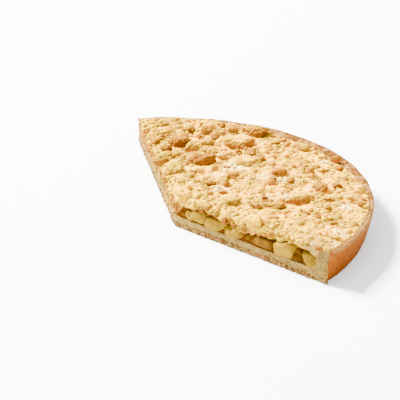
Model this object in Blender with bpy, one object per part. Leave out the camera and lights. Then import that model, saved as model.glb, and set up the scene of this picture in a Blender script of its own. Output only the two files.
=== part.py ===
"""An apple crumble pie, cut to a little under half of a round pie, as three closed solids.

pastry_case is the shortcrust base and its outer wall, apple_filling the layer of apple pieces
in their own glaze, and crumble_topping the bed of butter crumble that covers both. The piece
stands on z = 0 with the point of the cut towards -Y and the baked rim towards +Y.
"""

import bmesh
import bpy
import numpy as np
from mathutils import geometry

MM = 0.001

# The round pie that the piece was cut from
PIE_RADIUS = 140 * MM
PIE_CENTRE = np.array([-1.2, -72.9]) * MM
CUTS_MEET_AT = PIE_CENTRE + np.array([11.0, 6.2]) * MM
RIGHT_CUT_DEG = 18.75
LEFT_CUT_DEG = 161.25

# Heights above the surface that the pie stands on
RIM_HEIGHT_RIGHT = 21.8 * MM
RIM_HEIGHT_LEFT = 17.5 * MM
BASE_TOP = 7.2 * MM
FILLING_BOTTOM = 7.6 * MM
FILLING_TOP = 15.5 * MM
CRUMBLE_BOTTOM = 15.9 * MM
CRUMBLE_LEVEL = 22.6 * MM
CRUMBLE_LEVEL_SLOPE = 0.012
GAP = 0.4 * MM

# The outer wall, from the foot up: part of the rim's height, and inset from the pie's radius
WALL_OUTSIDE = [(0.0, 4.6), (0.05, 3.2), (0.2, 1.1), (0.62, 0.0), (0.9, 0.35), (0.975, 1.1), (1.0, 2.6)]
# The wall's inner side, from the rim's top down to the base: inset, and part of the wall's height
WALL_INSIDE = [(2.6, 1.0), (6.2, 1.0), (8.8, 0.96), (10.4, 0.8), (12.2, 0.45), (13.4, 0.16), (15.6, 0.0)]
WALL_STEPS = 60
# How far the case's cut faces wander, near the bottom and above
COARSE_CUT = 0.45 * MM
FINE_CUT = 0.25 * MM

# The crumble laps over the rim's inner edge and droops a little over both cuts
CRUMBLE_RIM_INSET = 5.0 * MM
CRUMBLE_LIP = 0.7 * MM
ROOM_OVER_WALL = 0.6 * MM
CRUMBLE_RISE_WIDTH = 14 * MM
CRUMBLE_EDGE_ROUND = 4.5 * MM
CRUMBLE_EDGE_DROP = 3.4 * MM
CRUMBLE_DROOP = 1.8 * MM
CRAG_HEIGHT = 0.8 * MM
# How much more of the rim the crumble leaves bare: angle round the pie from +X, and millimetres
BARE_RIM = [(20, 0), (33, -1.2), (52, -1.2), (66, 0.3), (82, 2.8), (94, 3.8), (110, 3.8), (122, 1.0), (132, -0.8),
            (154, -0.8), (160, 0)]

# Apple pieces on the right cut: place along the cut from the point, width, lowest and highest
# point, how far it stands out of the cut, and its lean, in millimetres and degrees
RIGHT_CUT_APPLE = [
    (18.6, 11.5, 7.9, 15.0, 0.9, -8),
    (33.4, 15.0, 7.9, 14.8, 1.0, -20),
    (48.6, 13.0, 7.9, 14.6, 0.8, -24),
    (70.0, 12.5, 7.9, 15.2, 1.0, -14),
    (90.0, 14.5, 7.9, 17.4, 2.6, -8),
    (106.0, 9.6, 9.4, 16.0, 0.6, 8),
]
LEFT_CUT_APPLE_COUNT = 9
APPLE_DEPTH = 12 * MM
APPLE_BEVEL = 1.6 * MM
FILLING_RECESS = 3.0 * MM

# The lumps of crumble that stand out most: x, y, length, width and height above the bed in
# millimetres, and the turn of their length from +X in degrees
LARGE_LUMPS = [
    (-40.7, 11.9, 18.0, 15.5, 6.0, 62),
    (-50.2, 31.8, 14.0, 12.0, 5.4, 70),
    (-26.9, -25.5, 16.5, 10.0, 5.0, 55),
    (-62.4, -22.6, 12.5, 12.0, 5.2, 40),
    (-51.4, -19.7, 8.6, 10.0, 4.4, 60),
    (-45.7, -46.6, 11.0, 8.5, 3.4, 60),
    (60.9, -2.9, 15.6, 9.5, 4.2, 74),
    (60.5, -23.6, 13.4, 8.5, 3.2, 60),
    (52.1, 18.1, 8.5, 9.0, 3.4, 60),
    (17.3, 9.0, 9.7, 7.5, 3.0, 50),
    (-9.0, -0.3, 15.5, 9.0, 2.4, 66),
    (-23.4, -47.7, 11.0, 11.0, 3.8, 60),
    (12.2, -62.5, 12.0, 8.5, 3.2, 30),
    (71.5, -44.0, 12.0, 9.0, 3.4, 20),
    (40.6, -40.5, 9.4, 8.5, 3.0, 60),
    (-11.5, 46.4, 11.2, 7.5, 2.6, 8),
    (-26.3, 24.9, 9.0, 9.0, 3.4, 60),
    (-62.8, 19.3, 9.2, 7.5, 3.2, 66),
    (-70.1, 3.6, 7.5, 7.0, 3.2, 60),
    (-101.0, -14.0, 9.0, 7.0, 2.6, 120),
]
# Further lumps by size, each spread evenly over what is still free: how many, least and
# greatest width, and height as part of the width
SPREAD_LUMPS = [(26, 6.6, 8.4, 0.34), (64, 4.4, 6.2, 0.40)]

SEED = 7


def unit(degrees):
    """The direction in plan at this angle from +X."""
    return np.array([np.cos(np.radians(degrees)), np.sin(np.radians(degrees))])


RIGHT_CUT = unit(RIGHT_CUT_DEG)
LEFT_CUT = unit(LEFT_CUT_DEG)
RIGHT_CUT_INWARD = np.array([-RIGHT_CUT[1], RIGHT_CUT[0]])
LEFT_CUT_INWARD = np.array([LEFT_CUT[1], -LEFT_CUT[0]])


def waves(points, wavelength, seed):
    """Smooth noise between about -1 and 1: the mean of sine waves in drawn directions."""
    draw = np.random.RandomState(seed)
    total = np.zeros(len(points))
    count = 7
    for _ in range(count):
        direction = unit(draw.uniform(0, 360))
        stretch = draw.uniform(0.7, 1.5)
        phase = draw.uniform(0, 2 * np.pi)
        total += np.sin(points[:, :2] @ direction * (2 * np.pi * stretch / wavelength) + phase)
    return total / np.sqrt(count)


def smooth_step(value):
    """0 below 0, 1 above 1, and a smooth rise between."""
    value = np.clip(value, 0, 1)
    return value * value * (3 - 2 * value)


def on_circle(start, direction, radius):
    """The point where a line from start in a direction leaves the pie's circle of this radius."""
    offset = start - PIE_CENTRE
    along = offset @ direction
    return start + direction * (-along + np.sqrt(along * along - offset @ offset + radius * radius))


def cut_length(direction):
    """The length of a cut, from the point of the piece to the rim."""
    return np.linalg.norm(on_circle(CUTS_MEET_AT, direction, PIE_RADIUS) - CUTS_MEET_AT)


def outline(rim_inset, near_rim, cut_step):
    """The piece in plan, counter-clockwise from its point, moved in from the rim.

    near_rim lists the insets at which each cut has a point of its own near the rim, and the rest
    of a cut is divided evenly, in steps of about cut_step. The result is the points and, for
    each, 0 on the right cut, 1 on the rim and 2 on the left cut.
    """
    point = CUTS_MEET_AT
    cuts = []
    for direction in (RIGHT_CUT, LEFT_CUT):
        corner = on_circle(point, direction, PIE_RADIUS - rim_inset)
        shelf = [on_circle(point, direction, PIE_RADIUS - inset) for inset in near_rim]
        count = int(cut_length(direction) / cut_step) - 2
        even = [point + (shelf[-1] - point) * part for part in np.arange(1, count) / count]
        cuts.append(np.array(even + shelf[::-1] + [corner]))
    angles = [np.arctan2(*(cut[-1] - PIE_CENTRE)[::-1]) for cut in cuts]
    around = np.linspace(angles[0], angles[1], WALL_STEPS + 1)[1:-1]
    rim = PIE_CENTRE + (PIE_RADIUS - rim_inset) * np.column_stack([np.cos(around), np.sin(around)])
    points = np.vstack([point, cuts[0], rim, cuts[1][::-1]])
    side = np.concatenate([[0], np.zeros(len(cuts[0])), np.ones(len(rim)), np.full(len(cuts[1]), 2)])
    return points, side.astype(int)


def cut_outward(side):
    """For each outline point, the way out of the cut that it lies on, and nothing on the rim."""
    table = np.array([-RIGHT_CUT_INWARD, [0, 0], -LEFT_CUT_INWARD])
    outward = table[side]
    outward[0] = -(RIGHT_CUT_INWARD + LEFT_CUT_INWARD) / 2
    return outward


def rim_distance(points):
    """How far in from the pie's radius each point lies."""
    return PIE_RADIUS - np.linalg.norm(points[:, :2] - PIE_CENTRE, axis=1)


def cut_distance(points):
    """How far in from the nearer cut each point lies."""
    offset = points[:, :2] - CUTS_MEET_AT
    return np.minimum(offset @ RIGHT_CUT_INWARD, offset @ LEFT_CUT_INWARD)


def rim_height(points):
    """The height of the rim: it falls from the right cut to the left one, and waves a little."""
    offset = points[:, :2] - PIE_CENTRE
    angle = np.degrees(np.arctan2(offset[:, 1], offset[:, 0]))
    part = (angle - RIGHT_CUT_DEG) / (LEFT_CUT_DEG - RIGHT_CUT_DEG)
    even = RIM_HEIGHT_RIGHT + (RIM_HEIGHT_LEFT - RIM_HEIGHT_RIGHT) * np.clip(part, 0, 1)
    around = PIE_CENTRE + PIE_RADIUS * np.column_stack([np.cos(np.radians(angle)), np.sin(np.radians(angle))])
    return even + 0.35 * MM * waves(around, 45 * MM, SEED)


def wall_inside(points):
    """The height of the base and of the wall's inner side at each point."""
    inset, part = np.array(WALL_INSIDE).T
    share = np.interp(rim_distance(points), inset * MM, part)
    return BASE_TOP + share * (rim_height(points) - BASE_TOP)


def crumble_inset(points):
    """How far in from the pie's radius the crumble ends, in each point's direction."""
    offset = points[:, :2] - PIE_CENTRE
    angle, more = np.array(BARE_RIM).T
    return CRUMBLE_RIM_INSET + np.interp(np.degrees(np.arctan2(offset[:, 1], offset[:, 0])), angle, more) * MM


def crumble_bed(points):
    """The height of the crumble's top without its separate lumps."""
    rim_side = smooth_step((rim_distance(points) - crumble_inset(points)) / CRUMBLE_RISE_WIDTH)
    at_rim = rim_height(points) + ROOM_OVER_WALL + CRUMBLE_LIP
    level = CRUMBLE_LEVEL + CRUMBLE_LEVEL_SLOPE * points[:, 0]
    near_cut = np.clip(1 - cut_distance(points) / CRUMBLE_EDGE_ROUND, 0, 1.2)
    away_from_rim = smooth_step((rim_distance(points) - 12 * MM) / (12 * MM))
    relief = 0.55 * MM * waves(points, 17 * MM, SEED + 1) + 0.3 * MM * waves(points, 7 * MM, SEED + 2)
    bed = at_rim + (level - at_rim) * rim_side - CRUMBLE_EDGE_DROP * near_cut ** 2 * away_from_rim
    return np.maximum(bed + relief * rim_side, wall_inside(points) + ROOM_OVER_WALL + 0.6 * MM)


def crumble_underside(points):
    """The height of the crumble's underside: level on the filling, and clear of the wall."""
    return np.maximum(CRUMBLE_BOTTOM, wall_inside(points) + ROOM_OVER_WALL)


def even_points(step, rim_inset, cut_inset):
    """Points on a grid of triangles inside the piece, clear of the rim and the cuts."""
    reach = np.arange(-PIE_RADIUS, PIE_RADIUS, step)
    rows = np.arange(-PIE_RADIUS, PIE_RADIUS, step * np.sqrt(0.75))
    across, away = np.meshgrid(reach, rows)
    across = across + (np.arange(len(rows)) % 2)[:, None] * step / 2
    points = np.column_stack([across.ravel(), away.ravel()])
    keep = (rim_distance(points) > rim_inset) & (cut_distance(points) > cut_inset)
    return points[keep]


def ring_points(insets, cut_inset):
    """Points inside the piece on rings at these insets from the rim, clear of the cuts."""
    rings = []
    for inset in insets:
        points, side = outline(inset, [inset + MM], 10 * MM)
        rings.append(points[side == 1])
    points = np.vstack(rings)
    return points[cut_distance(points) > cut_inset]


def cap_triangles(ring, inner):
    """Triangles that fill a ring in plan and use every inner point, as indices into both."""
    flat = np.vstack([ring[:, :2], inner[:, :2]]) / MM
    count = len(ring)
    result = geometry.delaunay_2d_cdt([tuple(p) for p in flat], [], [list(range(count))], 1, 1e-5, True)
    places = [found[0] for found in result[3]]
    inside = [face for face, source in zip(result[2], result[5]) if source]
    return [[places[corner] for corner in face] for face in inside]


def slab(name, rings, top_inner, bottom_inner, colour, roughness):
    """One closed object: rings lofted from the bottom up, with both ends filled."""
    levels = len(rings)
    count = len(rings[0])
    vertices = np.vstack(rings + [top_inner, bottom_inner])
    faces = []
    for level in range(levels - 1):
        for here in range(count):
            after = (here + 1) % count
            low = level * count
            high = low + count
            faces.append([low + here, low + after, high + after, high + here])
    top_start = (levels - 1) * count
    for face in cap_triangles(rings[-1], top_inner):
        faces.append([top_start + corner for corner in face])
    bottom_start = levels * count + len(top_inner)
    for face in cap_triangles(rings[0], bottom_inner):
        faces.append([corner if corner < count else bottom_start + corner - count for corner in face[::-1]])
    mesh = bpy.data.meshes.new(name)
    mesh.from_pydata([tuple(vertex) for vertex in vertices], [], faces)
    thing = bpy.data.objects.new(name, mesh)
    bpy.context.scene.collection.objects.link(thing)
    material = bpy.data.materials.new(name)
    material.use_nodes = True
    shader = material.node_tree.nodes["Principled BSDF"]
    shader.inputs["Base Color"].default_value = (*colour, 1)
    shader.inputs["Roughness"].default_value = roughness
    mesh.materials.append(material)
    return thing


def with_height(points, height):
    """Plan points made into places at these heights."""
    return np.column_stack([points, np.broadcast_to(height, len(points))])


def pastry_case():
    """The base and the outer wall, with crumbly cut faces that are coarsest along the bottom."""
    near_rim = [inset * MM for inset, _ in WALL_INSIDE[1:]]
    draw = np.random.RandomState(SEED + 3)
    rings = []
    for part, inset in WALL_OUTSIDE:
        points, side = outline(inset * MM, near_rim, 6 * MM)
        top = np.where(side == 1, rim_height(points), wall_inside(points))
        rough = (COARSE_CUT if part < 0.5 else FINE_CUT) * np.where(rim_distance(points) < 18 * MM, 0.4, 1)
        points = points + cut_outward(side) * (draw.normal(0, 1, len(points)) * rough)[:, None]
        rings.append(with_height(points, top * part))
    inner = np.vstack([
        ring_points(near_rim, 2 * MM),
        even_points(14 * MM, 22 * MM, 5 * MM),
    ])
    top_inner = with_height(inner, wall_inside(inner))
    bottom_inner = with_height(even_points(18 * MM, 14 * MM, 9 * MM), 0)
    return slab("pastry_case", rings, top_inner, bottom_inner, (0.55, 0.27, 0.09), 0.65)


def piece_collection(name, objects):
    """A collection that holds these objects and nothing else."""
    collection = bpy.data.collections.new(name)
    bpy.context.scene.collection.children.link(collection)
    for thing in objects:
        collection.objects.link(thing)
    return collection


def apply_boolean(thing, collection, operation):
    """Join a collection to an object, or cut it away, for good."""
    modifier = thing.modifiers.new("join", "BOOLEAN")
    modifier.operation = operation
    modifier.operand_type = "COLLECTION"
    modifier.collection = collection
    modifier.solver = "EXACT"
    scene_state = bpy.context.evaluated_depsgraph_get()
    joined = bpy.data.meshes.new_from_object(thing.evaluated_get(scene_state))
    thing.modifiers.clear()
    thing.data = joined


def remove_collection(collection):
    """Remove a collection and the objects in it."""
    for thing in list(collection.objects):
        bpy.data.objects.remove(thing)
    bpy.data.collections.remove(collection)


def largest_shell(thing):
    """Keep an object's largest closed shell, which drops loose scraps and fills sealed hollows."""
    model = bmesh.new()
    model.from_mesh(thing.data)
    bmesh.ops.triangulate(model, faces=model.faces)
    bmesh.ops.dissolve_degenerate(model, dist=0.01 * MM, edges=model.edges)
    bmesh.ops.triangulate(model, faces=model.faces)
    unseen = set(model.verts)
    shells = []
    while unseen:
        front = [unseen.pop()]
        shell = set(front)
        while front:
            for edge in front.pop().link_edges:
                for vertex in edge.verts:
                    if vertex in unseen:
                        unseen.remove(vertex)
                        shell.add(vertex)
                        front.append(vertex)
        shells.append(shell)
    shells.sort(key=len)
    scraps = [vertex for shell in shells[:-1] for vertex in shell]
    bmesh.ops.delete(model, geom=scraps, context="VERTS")
    model.to_mesh(thing.data)
    model.free()


def apple_piece(name, centre, along, width, height, lean, grow, draw):
    """One cut piece of apple: a bevelled block with uneven corners, set square to its cut."""
    model = bmesh.new()
    bmesh.ops.create_cube(model, size=1)
    for vertex in model.verts:
        vertex.co.x += draw.uniform(-0.1, 0.1)
        vertex.co.z += draw.uniform(-0.05, 0.05)
    size = np.array([width, APPLE_DEPTH, height])
    for vertex in model.verts:
        vertex.co = tuple(np.array(vertex.co) * size)
    edges = list(model.edges)
    bmesh.ops.bevel(model, geom=edges, offset=APPLE_BEVEL, segments=1, affect="EDGES")
    bmesh.ops.triangulate(model, faces=model.faces)
    lean_by = np.tan(np.radians(lean))
    outward = np.array([along[1], -along[0]])
    for vertex in model.verts:
        place = np.array(vertex.co)
        place += grow * np.sign(place)
        across = place[0] - lean_by * place[2]
        plan = centre[:2] + along * across - outward * place[1]
        vertex.co = (plan[0], plan[1], centre[2] + place[2])
    bmesh.ops.recalc_face_normals(model, faces=model.faces)
    mesh = bpy.data.meshes.new(name)
    model.to_mesh(mesh)
    model.free()
    return bpy.data.objects.new(name, mesh)


def apple_pieces(grow):
    """The apple pieces that show at both cuts, grown on every side by this distance."""
    draw = np.random.RandomState(SEED + 4)
    pieces = []
    for place, width, low, high, proud, lean in RIGHT_CUT_APPLE:
        front = CUTS_MEET_AT + RIGHT_CUT * place * MM - RIGHT_CUT_INWARD * proud * MM
        middle = front + RIGHT_CUT_INWARD * APPLE_DEPTH / 2
        centre = np.array([*middle, (low + high) / 2 * MM])
        height = (high - low) * MM
        pieces.append(apple_piece("apple_piece", centre, RIGHT_CUT, width * MM, height, lean, grow, draw))
    first = 18 * MM
    last = cut_length(LEFT_CUT) - 26 * MM
    for number in range(LEFT_CUT_APPLE_COUNT):
        part = (number + draw.uniform(-0.2, 0.2)) / (LEFT_CUT_APPLE_COUNT - 1)
        place = first + (last - first) * part
        proud = draw.uniform(0.3, 1.2) * MM
        width = draw.uniform(10, 12.5) * MM
        height = draw.uniform(6.6, 7.4) * MM
        lean = draw.uniform(-18, 18)
        front = CUTS_MEET_AT + LEFT_CUT * place - LEFT_CUT_INWARD * proud
        middle = front + LEFT_CUT_INWARD * APPLE_DEPTH / 2
        centre = np.array([*middle, FILLING_BOTTOM + GAP + height / 2])
        pieces.append(apple_piece("apple_piece", centre, -LEFT_CUT, width, height, lean, grow, draw))
    return pieces


def apple_filling():
    """The glazed filling, set back from both cuts, with the cut apple pieces standing out of it."""
    inset, part = np.array(WALL_INSIDE).T
    rings = []
    for height in (FILLING_BOTTOM, 9.6 * MM, 12.4 * MM, FILLING_TOP):
        share = (height - BASE_TOP) / (RIM_HEIGHT_RIGHT - BASE_TOP)
        clear_inset = np.interp(-share, -part, inset) * MM + 2 * GAP
        points, side = outline(clear_inset, [clear_inset + 4 * MM], 7 * MM)
        recess = FILLING_RECESS * (1 + np.clip(0.3 * waves(points, 21 * MM, SEED + 5), -0.25, 0.4))
        points = points - cut_outward(side) * recess[:, None]
        rings.append(with_height(points, height))
    inner = even_points(13 * MM, 20 * MM, 9 * MM)
    thing = slab("apple_filling", rings, with_height(inner, FILLING_TOP), with_height(inner, FILLING_BOTTOM),
                 (0.62, 0.42, 0.12), 0.3)
    collection = piece_collection("apple_pieces", apple_pieces(0))
    apply_boolean(thing, collection, "UNION")
    remove_collection(collection)
    largest_shell(thing)
    return thing


def lump(name, x, y, length, width, height, turn, sides, draw):
    """One lump of crumble: an uneven ball, flattened, turned and set half into the bed."""
    model = bmesh.new()
    bmesh.ops.create_icosphere(model, subdivisions=sides, radius=1)
    size = np.array([length / 2, width / 2, 0.9 * height])
    cosine, sine = unit(turn)
    bed = crumble_bed(np.array([[x, y]]))[0]
    base = crumble_underside(np.array([[x, y]]))[0]
    middle = max(bed + 0.1 * height, base + size[2] * 1.15)
    for vertex in model.verts:
        place = np.array(vertex.co) * size * (1 + draw.uniform(-0.13, 0.13))
        across = cosine * place[0] - sine * place[1]
        away = sine * place[0] + cosine * place[1]
        vertex.co = (x + across, y + away, middle + place[2])
    mesh = bpy.data.meshes.new(name)
    model.to_mesh(mesh)
    model.free()
    return bpy.data.objects.new(name, mesh)


def crumble_lumps():
    """The lumps of crumble: the largest where they lie, then smaller ones in what is free."""
    draw = np.random.RandomState(SEED + 6)
    lumps = []
    taken = []
    for x, y, length, width, height, turn in LARGE_LUMPS:
        taken.append((x * MM, y * MM, (length + width) / 4 * MM))
        lumps.append(lump("lump", x * MM, y * MM, length * MM, width * MM, height * MM, turn, 2, draw))
    for count, least, greatest, tall in SPREAD_LUMPS:
        found = 0
        while found < count:
            spot = PIE_CENTRE + draw.uniform(-1, 1, 2) * PIE_RADIUS
            width = draw.uniform(least, greatest) * MM
            inside = rim_distance(spot[None])[0] > crumble_inset(spot[None])[0] + width / 2
            clear = all(np.hypot(spot[0] - x, spot[1] - y) > 0.95 * (r + width / 2) for x, y, r in taken)
            if not inside or not clear or cut_distance(spot[None])[0] < width * 0.3:
                continue
            taken.append((*spot, width / 2))
            length = width * draw.uniform(1.0, 1.4)
            lumps.append(lump("lump", *spot, length, width, width * tall, draw.uniform(0, 180), 1, draw))
            found += 1
    return lumps


def crumble_topping():
    """The crumble: an uneven bed with ragged, rounded edges at both cuts, and its lumps."""
    near_rim = [inset * MM for inset in (8.8, 10.4, 12.2, 15.6)]
    draw = np.random.RandomState(SEED + 8)
    rings = []
    for part, proud, droops in ((0.0, -2.0, 0), (0.0, -0.8, 1), (0.4, 0.3, 1), (0.8, 0.1, 1), (1.0, -0.9, 1)):
        points, side = outline(CRUMBLE_RIM_INSET, near_rim, 5.4 * MM)
        from_centre = (points - PIE_CENTRE) / np.linalg.norm(points - PIE_CENTRE, axis=1)[:, None]
        points = points - from_centre * ((crumble_inset(points) - CRUMBLE_RIM_INSET) * (side == 1))[:, None]
        droop = CRUMBLE_DROOP * np.clip(waves(points, 24 * MM, SEED + 7), 0, 1) * (side != 1)
        droop *= smooth_step((rim_distance(points) - 16 * MM) / (10 * MM)) * droops
        low = crumble_underside(points) - droop
        high = crumble_bed(points)
        outward = proud * MM + draw.uniform(-0.5, 0.5, len(points)) * MM * droops
        ragged = MM * (0.5 * waves(points, 30 * MM, SEED + 9) - 0.6 * (1 - droops)) * (side == 1)
        points = points + cut_outward(side) * outward[:, None] + from_centre * ragged[:, None]
        rings.append(with_height(points, low + (high - low) * part))
    by_rim = ring_points([10.4 * MM, 14 * MM], 3 * MM)
    inside = even_points(6.8 * MM, 17.5 * MM, 4.2 * MM)
    crags = draw.uniform(-CRAG_HEIGHT, CRAG_HEIGHT, len(inside))
    crags *= smooth_step(cut_distance(inside) / (2 * CRUMBLE_EDGE_ROUND))
    coarse = np.vstack([
        ring_points([inset * MM for inset in (6.2, 8.8, 10.4, 12.2, 14.5)], 3 * MM),
        even_points(15 * MM, 21 * MM, 5 * MM),
    ])
    coarse = coarse[rim_distance(coarse) > crumble_inset(coarse) + 1.1 * MM]
    top_inner = np.vstack([
        with_height(by_rim, crumble_bed(by_rim)),
        with_height(inside, crumble_bed(inside) + crags),
    ])
    bottom_inner = with_height(coarse, crumble_underside(coarse))
    thing = slab("crumble_topping", rings, top_inner, bottom_inner, (0.82, 0.66, 0.36), 0.8)
    lumps = piece_collection("lumps", crumble_lumps())
    apply_boolean(thing, lumps, "UNION")
    remove_collection(lumps)
    room = piece_collection("room_for_apple", apple_pieces(GAP))
    apply_boolean(thing, room, "DIFFERENCE")
    remove_collection(room)
    largest_shell(thing)
    return thing


def main():
    for thing in list(bpy.data.objects):
        bpy.data.objects.remove(thing)
    pastry_case()
    apple_filling()
    crumble_topping()


main()
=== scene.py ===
"""An apple crumble pie, cut to a little under half of a round pie, dressed over its solids.

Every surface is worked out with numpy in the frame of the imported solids: the baked case as a
ring carried up and over its wall, the crumble as a lumpy bed with crumbs and lumps on it, and the
filling as a glazed core with cut apple pieces. Unless a table says otherwise, its columns are in
millimetres, and its angles are in degrees round the pie from +X.
"""

from functools import lru_cache

import bmesh
import bpy
import numpy as np
from mathutils import Matrix, Vector, geometry


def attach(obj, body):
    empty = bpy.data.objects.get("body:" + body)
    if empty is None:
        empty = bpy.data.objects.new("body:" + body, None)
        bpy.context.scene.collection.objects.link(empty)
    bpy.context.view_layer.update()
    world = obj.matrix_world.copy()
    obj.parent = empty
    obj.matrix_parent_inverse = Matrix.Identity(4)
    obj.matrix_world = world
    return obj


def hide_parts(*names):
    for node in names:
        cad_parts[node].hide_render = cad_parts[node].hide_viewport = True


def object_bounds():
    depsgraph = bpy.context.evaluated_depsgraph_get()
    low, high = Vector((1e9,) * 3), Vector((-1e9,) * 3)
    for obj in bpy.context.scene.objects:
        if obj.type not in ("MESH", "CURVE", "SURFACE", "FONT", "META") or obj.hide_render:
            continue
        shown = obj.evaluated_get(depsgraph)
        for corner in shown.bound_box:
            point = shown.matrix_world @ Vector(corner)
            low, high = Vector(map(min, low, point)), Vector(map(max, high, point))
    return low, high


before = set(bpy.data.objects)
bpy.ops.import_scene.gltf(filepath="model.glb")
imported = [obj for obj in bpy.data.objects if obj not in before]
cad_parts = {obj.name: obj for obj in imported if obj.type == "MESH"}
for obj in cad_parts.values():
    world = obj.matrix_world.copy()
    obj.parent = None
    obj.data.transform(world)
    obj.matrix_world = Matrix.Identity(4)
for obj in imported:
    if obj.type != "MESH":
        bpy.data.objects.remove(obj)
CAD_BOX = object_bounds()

bl_info = {
    "name": "Apple crumble pie",
    "version": (1, 0, 0),
    "blender": (4, 5, 0),
    "location": "3D View > Sidebar > Crumble pie",
    "description": "Builds a cut apple crumble pie from its sizes and colours",
    "category": "Add Mesh",
}

MM = 0.001
CAD_TOP = CAD_BOX[1][2]

# The round pie that the piece was cut from, as in the solids
PIE_RADIUS = 140 * MM
PIE_CENTRE = np.array([-1.2, -72.9]) * MM
CUTS_MEET_AT = PIE_CENTRE + np.array([11.0, 6.2]) * MM
RIGHT_CUT_DEG = 18.75
LEFT_CUT_DEG = 161.25
RIM_HEIGHT_RIGHT = 21.8 * MM
RIM_HEIGHT_LEFT = 17.5 * MM
RIM_CORNER_RISE = 2.4 * MM
BASE_TOP = 7.2 * MM
FILLING_BOTTOM = 7.6 * MM
FILLING_TOP = 15.5 * MM
CRUMBLE_BOTTOM = 15.9 * MM
CRUMBLE_LEVEL = 22.6 * MM
CRUMBLE_LEVEL_SLOPE = 0.012

# The wall's outer side: part of the rim's height, and inset from the pie's radius
WALL_OUTSIDE = [(0.0, 5.8), (0.05, 4.8), (0.2, 3.3), (0.62, 1.1), (0.9, 0.0), (0.975, 0.5), (1.0, 2.0)]
WALL_RINGS = 34
# Its inner side: inset, and part of the wall's height above the base
WALL_INSIDE = [(2.6, 1.0), (6.2, 1.0), (8.8, 0.96), (10.4, 0.8), (12.2, 0.45), (13.4, 0.16), (15.6, 0.0)]

# Insets of the rings of points over the rim's top and down the wall's inner side
RIM_TOP_INSETS = np.concatenate([np.arange(3.1, 10, 0.5), np.arange(10.3, 16, 1.1)]) * MM

CRUMBLE_RIM_INSET = 5.0 * MM
CRUMBLE_LIP = 0.4 * MM
BACK_LEFT_LIP = 1.9 * MM
BACK_LEFT_FROM_DEG = 128
BACK_LEFT_RISE_DEG = 16
ROOM_OVER_WALL = 0.2 * MM
CRUMBLE_RISE_WIDTH = 14 * MM
CRUMBLE_EDGE_ROUND = 4.5 * MM
CRUMBLE_EDGE_DROP = 3.4 * MM
CRUMBLE_DROOP = 1.8 * MM
LUMP_MOAT_DEPTH = 0.6 * MM
LUMP_MOAT_WIDTH = 2.4 * MM
BROAD_CLODS = 10.5 * MM
BIG_CLODS = 5.6 * MM
MIDDLE_CLODS = 2.9 * MM
SMALL_CLODS = 1.5 * MM
# Rows of the bed's profile: how far back those under its lip lie, and how many more there are up
# the cut, across the top and underneath
LIP_ROWS = (4.2, 2.8, 1.4)
CUT_ROWS = 11
TOP_ROWS = 196
UNDER_ROWS = 18
FILLING_RECESS = 3.0 * MM
FILLING_GAP = 0.24 * MM
GLAZE_RINGS = 22
GLAZE_STEP = 0.8 * MM
APPLE_DEPTH = 12 * MM
APPLE_WIDER = 1.18
APPLE_HIGHER = 1.06
APPLE_SOFT_PLANES = 5
LEFT_CUT_APPLE_COUNT = 9
# How many random numbers the solids draw for the right cut's apple pieces
SOLIDS_APPLE_DRAWS = 96
LUMP_PLANES = 12
# Which share of the dough crumbs lies on the wall's section, of the rim's crumbs on its left part,
# and of the crumbs on the cuts on the right one and near the point
DOUGH_CRUMBS_ON_WALL = 0.14
RIM_CRUMBS_ON_LEFT = 0.45
CUT_CRUMBS_ON_RIGHT = 0.52
CUT_CRUMBS_NEAR_POINT = 0.14

# How much more of the rim the crumble leaves bare: angle, and inset
BARE_RIM = [(19, -2.4), (24, -2.2), (33, -2.5), (52, -2.2), (66, 0.0), (82, 2.8), (94, 3.8),
            (110, 3.8), (122, 1.2), (134, 0.2), (146, 1.6), (156, 2.2), (160, 2.2)]
# Where hardly any crumbs lie: angle, and distance in from the pie's radius
BARE_BAND = [(19, 1.0), (40, 2.5), (55, 3.6), (66, 6.0), (80, 10.5), (94, 12.5), (110, 12.0),
             (122, 9.5), (134, 9.0), (146, 11.0), (156, 11.0), (160, 9.0)]
# A smooth patch of crumble at the right corner: place along the cut, depth behind it, and reach
SMOOTH_CORNER = (112 * MM, 4 * MM, 10 * MM)
# The crumble's lower edge on the right cut: place along the cut, and height
CRUMBLE_EDGE = [(0, 8.4), (3, 10.4), (6, 15.2), (12, 17.0), (22, 18.0), (26, 17.1), (33, 18.8),
                (37, 17.0), (43, 15.8), (55, 15.5), (60, 14.1), (68, 14.7), (75, 16.4), (83, 17.6),
                (92, 19.0), (100, 20.0), (110, 20.4)]
# How deep the glaze lies behind the right cut: place along the cut, and depth
GLAZE_DEPTH = [(0, 0.3), (5, 0.5), (8, 1.6), (12, 1.9), (26, 1.5), (41, 1.6), (54, 1.5), (61, 2.0),
               (70, 1.7), (79, 1.9), (90, 1.9), (96, 2.8), (102, 4.0), (106, 3.0), (111, 1.0)]

# Apple pieces on the right cut: place along the cut, width, lowest and highest point, how far it
# stands out, its lean in degrees, and how far it has browned
RIGHT_CUT_APPLE = [
    (11.5, 9.0, 7.4, 13.8, 0.1, -8, 0.2),
    (20.0, 11.0, 7.6, 16.8, 0.7, -6, 0.15),
    (33.8, 16.5, 7.2, 15.8, 1.2, -24, 0.3),
    (49.8, 15.6, 7.0, 15.4, 1.2, -22, 0.35),
    (73.0, 14.5, 7.1, 15.2, 1.8, -12, 0.85),
    (90.5, 14.2, 7.0, 18.2, 2.4, -8, 0.0),
    (100.5, 9.5, 7.1, 12.6, -0.9, 14, 1.3),
    (110.4, 12.5, 7.3, 15.8, 0.5, 6, 0.45),
]

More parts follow.
